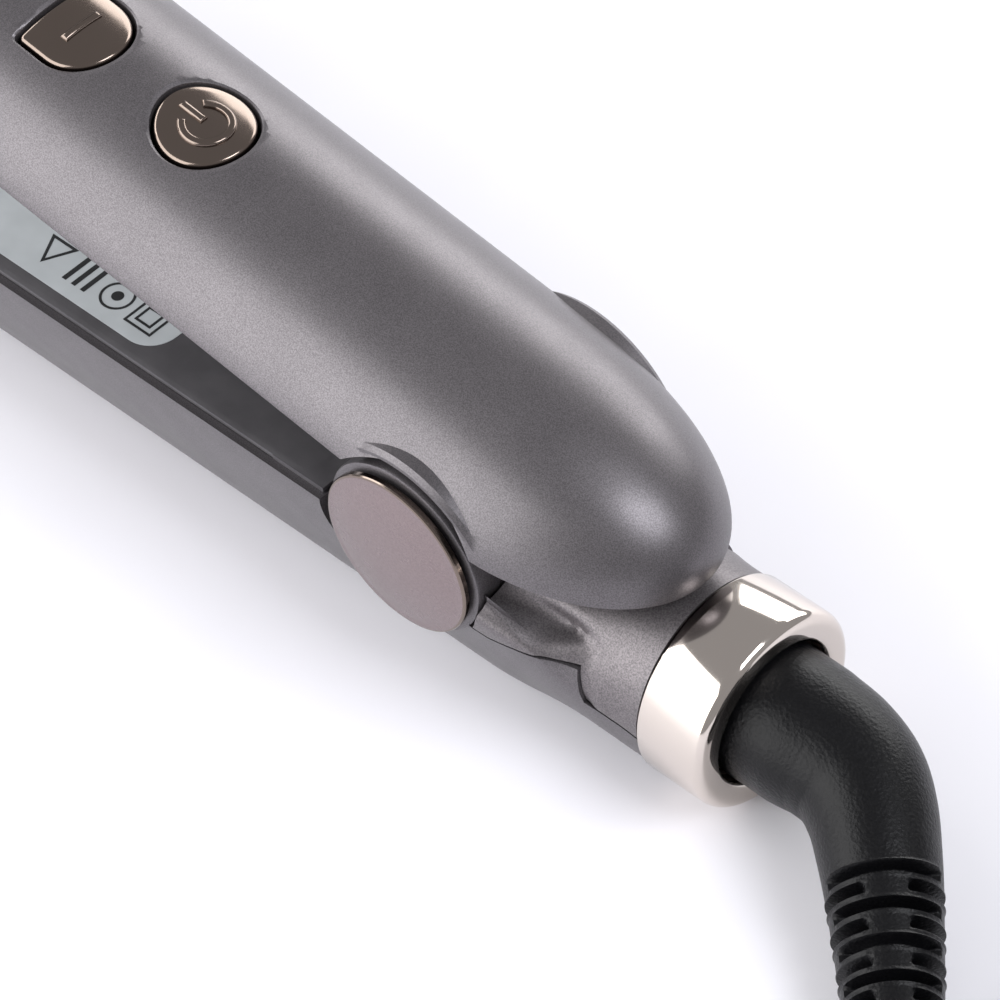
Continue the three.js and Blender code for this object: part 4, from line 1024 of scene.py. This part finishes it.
def neck_housing():
    housing = combined(neck_form(), [below_seam(-0.15)], "DIFFERENCE")
    room = drum((0, 1, 0), BOSS_R + GAP, -30, 30)
    hollow = lower_form(NECK_WALL, NECK_END - 1, 0)
    housing = combined(housing, [hollow, room], "DIFFERENCE")
    housing = merged(housing, boss_wall(1), boss_wall(-1))
    piece("neck_cover", housing, "lower_arm", NECK_PAINT, LOWER, ["neck_housing"])


def collar():
    rear = COLLAR_REAR
    profile = [
        (NECK_R - 0.7, NECK_END - GAP), (COLLAR_R - 0.35, NECK_END - GAP),
        (COLLAR_R - 0.1, NECK_END - GAP - 0.1), (COLLAR_R, NECK_END - GAP - 0.35),
        (COLLAR_R, rear + 1.5),
    ]
    for a in spread(0, 90, 15)[1:]:
        c, s = math.cos(math.radians(a)), math.sin(math.radians(a))
        profile.append((COLLAR_R - 1.5 + 1.5 * c, rear + 1.5 - 1.5 * s))
    for a in spread(0, 90, 15)[1:]:
        c, s = math.cos(math.radians(a)), math.sin(math.radians(a))
        profile.append((COLLAR_MOUTH_R + 0.9 - 0.9 * s, rear + 0.9 - 0.9 * c))
    profile += [(COLLAR_MOUTH_R, rear + 2.4), (NECK_R - 0.7, rear + 2.4), (NECK_R - 0.7, NECK_END - GAP)]
    bm = turned([(radius, -x) for radius, x in profile], (-1, 0, 0), (0, 0, NECK_AXIS), 128)
    piece("collar", bm, "lower_arm", NICKEL, LOWER, ["collar_ring"])


def hinge_disc(side, node):
    """A pressed disc: a polished bevelled rim round a satin, gently crowned face."""
    back, face = CHEEK_OUTER + GAP, DISC_FACE
    profile = [(0, back - 1.5), (5, back - 1.5), (5, back), (DISC_R - 0.35, back), (DISC_R, back + 0.35)]
    profile += [(DISC_R, face - 1.3), (DISC_R - 0.1, face - 1.12), (DISC_R - 0.32, face - 1.04)]
    profile += [(DISC_R - 0.5, face - 1.02), (DISC_R - 1.0, face - 1.0)]
    profile += [(r, face - 0.96 * (r / (DISC_R - 1.2)) ** 2.2) for r in spread(DISC_R - 1.4, 0, -0.6)]
    bm = turned(profile, (0, side, 0), steps=128)

    def finish_by(face):
        middle = LOWER.inverted() @ face.calc_center_median()
        return 0 if math.hypot(middle.x, middle.z) > DISC_R - 0.4 else 1

    piece(f"hinge_disc_{node}", bm, "lower_arm", [BRONZE_CHROME, DISC_BRONZE], LOWER,
          [f"hinge_cap_{node}"], 25, finish_by)


def rating_label():
    """A silver film on the lower tray, printed with plain shapes and dashes."""
    span = (LABEL_START, TRAY_SPAN[1] - LABEL_TO_TRAY_END)
    top = LOWER_RIM + TRAY_TOP + 0.06
    film = prism(rounded_rect(span, LABEL_HALF, 4, 12), top - 0.41, top)
    piece("rating_film", film, "lower_arm", LABEL_FILM, LOWER, ["rating_label"])
    marks = []
    height = (top, top + PRINT_THICKNESS)

    def outlined(outer, inner):
        return combined(prism(outer, *height), [prism(inner, 0, 4)], "DIFFERENCE")

    def square(x, y, half):
        return [(x - half, y - half), (x + half, y - half), (x + half, y + half), (x - half, y + half)]

    y = LABEL_HALF - 4.2
    marks.append(outlined(square(47.8, y, 2.3), square(47.8, y, 1.95)))
    marks.append(outlined(square(47.8, y, 1.35), square(47.8, y, 1.0)))
    marks.append(outlined(circle(2.3, (53.4, y), 40), circle(1.95, (53.4, y), 40)))
    marks.append(prism(circle(0.8, (53.4, y), 24), *height))
    for step in (-1.6, 0, 1.6):
        marks.append(prism(bar_mark(59 + step, y, 0.7, 4.4), *height))
    marks.append(outlined(
        [(62.6, y - 2.3), (67.2, y - 2.3), (64.9, y + 2.1)],
        [(63.3, y - 1.9), (66.5, y - 1.9), (64.9, y + 1.3)],
    ))
    for row in range(4):
        for column in range(9):
            x = 48 + column * 5.6 + (row % 2) * 1.3
            marks.append(prism(bar_mark(x, 4.2 - row * 3.4, 3.4 - (column * row) % 3, 0.7), *height))
    printed = merged(*marks)
    piece("label_print", printed, "lower_arm", INK)


# ------------------------------------------------------------------ plates and tips

def plate_frame():
    """A heat-proof frame under an arm, open where the plate sits."""
    bm = prism(rounded_rect(FRAME_SPAN, FRAME_HALF, 3), FRAME_FACE, UPPER_RIM - GAP)
    eased(bm, 0.4, 3, 60)
    opening = (PLATE_SPAN[0] - PLATE_GAP, PLATE_SPAN[1] + PLATE_GAP)
    room = prism(rounded_rect(opening, PLATE_HALF + PLATE_GAP, 0.4, 3), 0, UPPER_RIM - 1.1)
    return combined(bm, [room], "DIFFERENCE")


def heating_plate():
    """A plate with rounded long edges, that hair slides over."""
    half, turn, low = PLATE_HALF, 1.2, PLATES_MEET + 0.2
    section = [(-half, low + 2), (half, low + 2)]
    for a in spread(0, 90, 15):
        c, s = math.cos(math.radians(a)), math.sin(math.radians(a))
        section.append((half - turn + turn * c, low + turn - turn * s))
    section += [(-y, z) for y, z in reversed(section[2:])]
    bm = prism(section, PLATE_SPAN[0], PLATE_SPAN[1])
    axes = Matrix(((0, 0, 1, 0), (1, 0, 0, 0), (0, 1, 0, 0), (0, 0, 0, 1)))
    bmesh.ops.transform(bm, matrix=axes, verts=bm.verts)
    return bm


def tip_cap(upper):
    """A rounded nose that closes an arm, with a flat lip level with the plate's frame."""
    start, reach = SHELL_END + GAP, CAP_LENGTH - GAP
    shares = [math.sin(math.radians(a)) for a in spread(0, 90, 5)]
    columns = 64
    rim = UPPER_RIM if upper else LOWER_RIM

    def section(column):
        if upper:
            if column <= 44:
                return dome_point(SHELL_END, 1 - 2 * column / 44)
            return dome_point(SHELL_END, -1).lerp(dome_point(SHELL_END, 1), (column - 44) / 20)
        return lower_point(SHELL_END, column / 44 if column <= 44 else 1 + (column - 44) / 20, 0, 0)

    def place(row, column):
        if row == 0:
            return Vector((start, 0, rim))
        share = shares[row - 1]
        left = (max(0, 1 - share ** 2.4)) ** 0.5
        point = section(column % columns)
        return Vector((start + share * reach, point.y * left, rim + (point.z - rim) * left))

    bm = sheet_over(len(shares), columns, place)
    nose = rounded_rect((start, TIP - 0.8), FRAME_HALF, 6, 12)
    heights = (LOWER_RIM - 0.4, 2 * PLATES_MEET - FRAME_FACE)
    if upper:
        heights = (FRAME_FACE, UPPER_RIM + 0.4)
    lip = eased(prism(nose, *heights), 0.4, 3, 60)
    return combined(bm, [lip], "UNION")


def plates_and_tips():
    piece("upper_frame", plate_frame(), "upper_arm", HEAT_PPS, UPPER,
          ["upper_plate_frame"])
    piece("lower_frame", plate_frame(), "lower_arm", HEAT_PPS, TURNED_OVER,
          ["lower_plate_frame"])
    piece("upper_plate", heating_plate(), "upper_plate", PLATE_ENAMEL, UPPER,
          ["upper_heating_plate"])
    piece("lower_plate", heating_plate(), "lower_arm", PLATE_ENAMEL, TURNED_OVER,
          ["lower_heating_plate"])
    piece("upper_tip", tip_cap(True), "upper_arm", HEAT_PPS, UPPER, ["upper_tip_cap"])
    piece("lower_tip", tip_cap(False), "lower_arm", HEAT_PPS, LOWER, ["lower_tip_cap"])


# ------------------------------------------------------------------ strain relief, cord and plug

SLOT_START, SLOT_PITCH, SLOT_WIDTH, SLOT_DEPTH = 31.5, 2.25, 1.3, 1.9


def slot_depth(along, angle):
    """How deep the relief is cut at a length and an angle round it, with a raised lip beside it."""
    number = round((along - SLOT_START) / SLOT_PITCH)
    if number < 0 or number > 8:
        return 0
    off = abs(along - SLOT_START - number * SLOT_PITCH)
    half_turn = math.degrees(angle) % 360
    if number % 2 == 0:
        reach = [(90, 66), (270, 66)]
    else:
        reach = [(0, 66), (180, 66)]
    inside = 0
    for middle, half in reach:
        away = abs((half_turn - middle + 180) % 360 - 180)
        inside = max(inside, 1 - smooth(away, half - 5, half + 3))
    cut = 1 - smooth(off, SLOT_WIDTH / 2 - 0.25, SLOT_WIDTH / 2 + 0.1)
    lip = smooth(off, SLOT_WIDTH / 2 - 0.1, SLOT_WIDTH / 2 + 0.15) * (
        1 - smooth(off, SLOT_WIDTH / 2 + 0.2, SLOT_WIDTH / 2 + 0.6))
    return inside * (SLOT_DEPTH * cut - 0.16 * lip)


def relief_radius(share):
    stops = [(0, 8.75), (0.16, 8.75), (0.4, 7.4), (0.6, 6.5), (1, 4.9)]
    for (a, ra), (b, rb) in zip(stops, stops[1:]):
        if share <= b:
            return lerp(ra, rb, (share - a) / (b - a))
    return stops[-1][1]


def strain_relief():
    line = through(RELIEF_LINE, 0.22)
    length = sum((b - a).length for a, b in zip(line, line[1:]))
    columns = 120
    frames = []
    for i, point in enumerate(line):
        ahead = (line[min(i + 1, len(line) - 1)] - line[max(i - 1, 0)]).normalized()
        side = ahead.cross(Vector((0, 0, 1))).normalized()
        frames.append((point, side, side.cross(ahead)))
    last = len(line) + 1

    def place(row, column):
        i = min(len(line) - 1, max(0, row - 1))
        point, side, above = frames[i]
        share = i / (len(line) - 1)
        angle = 2 * math.pi * (column % columns) / columns
        radius = relief_radius(share) - slot_depth(share * length, angle)
        end = smooth(share * length, length - 0.8, length)
        radius -= 0.5 * end
        if row in (0, last):
            radius = 0
        return point + side * radius * math.cos(angle) + above * radius * math.sin(angle)

    bm = sheet_over(last, columns, place)
    return piece("relief", bm, "cord", RELIEF_RUBBER, LOWER, ["strain_relief"], 60)


def cord_tie():
    """A strap round the hank's waist."""
    half_y, low, high = LANES["outer"][1] + CORD_R + 1.2, FLOOR + 0.05, HANK_TOP + GAP + TIE_THICKNESS
    middle, half_z = (low + high) / 2, (high - low) / 2
    ring = rounded_rect((-half_y - TIE_THICKNESS, half_y + TIE_THICKNESS), half_z, 3, 10)
    inner = rounded_rect((-half_y, half_y), half_z - TIE_THICKNESS, 2.2, 10)
    corners = len(ring)

    def place(row, column):
        outline = ring if row in (0, 1, 4) else inner
        x = -TIE_HALF if row in (0, 3, 4) else TIE_HALF
        y, z = outline[column % corners]
        return Vector((HANK_MIDDLE + x, HANK_Y + y, middle + z))

    bm = sheet_over(4, corners, place)
    eased(bm, 0.25, 2, 60)
    return piece("hank_tie", bm, "cord", RELIEF_RUBBER, LOWER, ["cord_tie"])


def plug():
    """A flat two-pin plug whose ribbed tail joins the cord, and its pins."""
    front, shoulder = PLUG_X - PLUG_LENGTH, PLUG_X - PLUG_SHOULDER
    left = [(PLUG_X, PLUG_ROOT_HALF), (shoulder, PLUG_HALF), (front, PLUG_HALF)]
    right = [(x, -y) for x, y in reversed(left)]
    low = HANK_TOP + GAP
    body = prism([(x, HANK_Y + y) for x, y in [*left, *right]], low, low + PLUG_HEIGHT)
    upright = [e for e in body.edges if abs(e.verts[0].co.z - e.verts[1].co.z) > 5]
    bmesh.ops.bevel(body, geom=upright, offset=4, segments=8, profile=0.5, affect="EDGES", material=-1)
    eased(body, 2, 5, 60, lambda e: abs(e.verts[0].co.z - e.verts[1].co.z) < 0.01)
    rings = [(0, 5)]
    for number in range(6):
        at = -1 - number * 3.2
        radius = 6 - number * 0.27
        rings += [(radius, at + 1), (radius, at - 0.9), (radius - 0.9, at - 1.1), (radius - 0.9, at - 2)]
    rings += [(4.4, -20), (0, -20)]
    tail = turned([(r, -z) for r, z in rings], (1, 0, 0), (PLUG_X, HANK_Y, PLUG_AXIS), 48)
    whole = combined(body, [tail], "UNION")
    made = piece("plug", whole, "cord", RELIEF_RUBBER, LOWER, ["plug_body"])
    pins = []
    profile = [(0, 0), (2, 0), (2, 17.4), (1.85, 18.2), (1.4, 18.8), (0, 19)]
    for side, node in ((1, "near"), (-1, "far")):
        y = HANK_Y + side * PIN_SPACING / 2
        pin = turned(profile, (-1, 0, 0), (front - GAP, y, PLUG_AXIS), 32)
        pins.append(piece(f"pin_{node}", pin, "cord", BRASS, LOWER, [f"plug_pin_{node}"]))
    return made, pins


def cord_and_plug():
    relief_piece = strain_relief()
    tie = cord_tie()
    body, pins = plug()
    cord.data.materials.append(CORD_PVC)
    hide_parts("cord_tube", "cord_hank", "cord_tail")
    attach(cord, "cord")


# ------------------------------------------------------------------ studio

def floor():
    bm = bmesh.new()
    bmesh.ops.create_grid(bm, x_segments=1, y_segments=1, size=3)
    ground = object_from(bm, "studio_floor")
    material, tree, shader, place = new_material("matt_white_sweep")
    cloud = grain(tree, place, 40)
    fill(tree, shader, {
        "Base Color": tones(tree, cloud, "#f0eff4", "#f2f1f6"),
        "Roughness": between(tree, cloud, 0.52, 0.58),
    }, {})
    ground.data.materials.append(material)


def softbox(name, aim, direction, distance, size, power, colour="#ffffff"):
    data = bpy.data.lights.new(name, "AREA")
    data.shape = "RECTANGLE"
    data.size, data.size_y = size
    data.energy = power
    data.color = linear(colour)[:3]
    light = bpy.data.objects.new(name, data)
    bpy.context.scene.collection.objects.link(light)
    away = Vector(direction).normalized()
    light.location = aim + away * distance
    light.rotation_mode = "QUATERNION"
    light.rotation_quaternion = away.to_track_quat("Z", "Y")


def studio():
    floor()
    world = bpy.data.worlds.new("studio")
    world.use_nodes = True
    backdrop = world.node_tree.nodes["Background"].inputs
    backdrop["Color"].default_value = linear("#f4f3f6")
    backdrop["Strength"].default_value = 0.45
    bpy.context.scene.world = world
    softbox("left", HINGE, (0.42, 0.8, 0.36), 1.1, (1.3, 1.1), 16)
    softbox("behind", HINGE, (-0.71, -0.11, 0.85), 1.2, (0.6, 0.45), 8, "#f3f5fa")
    softbox("right", HINGE, (0.25, -1.0, 0.4), 1.2, (1.0, 0.6), 9)
    softbox("front", HINGE, (1.0, 0.1, 0.55), 1.3, (0.9, 0.6), 8)
    bpy.context.scene.view_settings.view_transform = "Standard"


upper_outer_shell()
buttons()
display_window()
inner_trays()
lower_outer_shell()
neck_housing()
collar()
hinge_disc(1, "near")
hinge_disc(-1, "far")
rating_label()
plates_and_tips()
cord_and_plug()
studio()
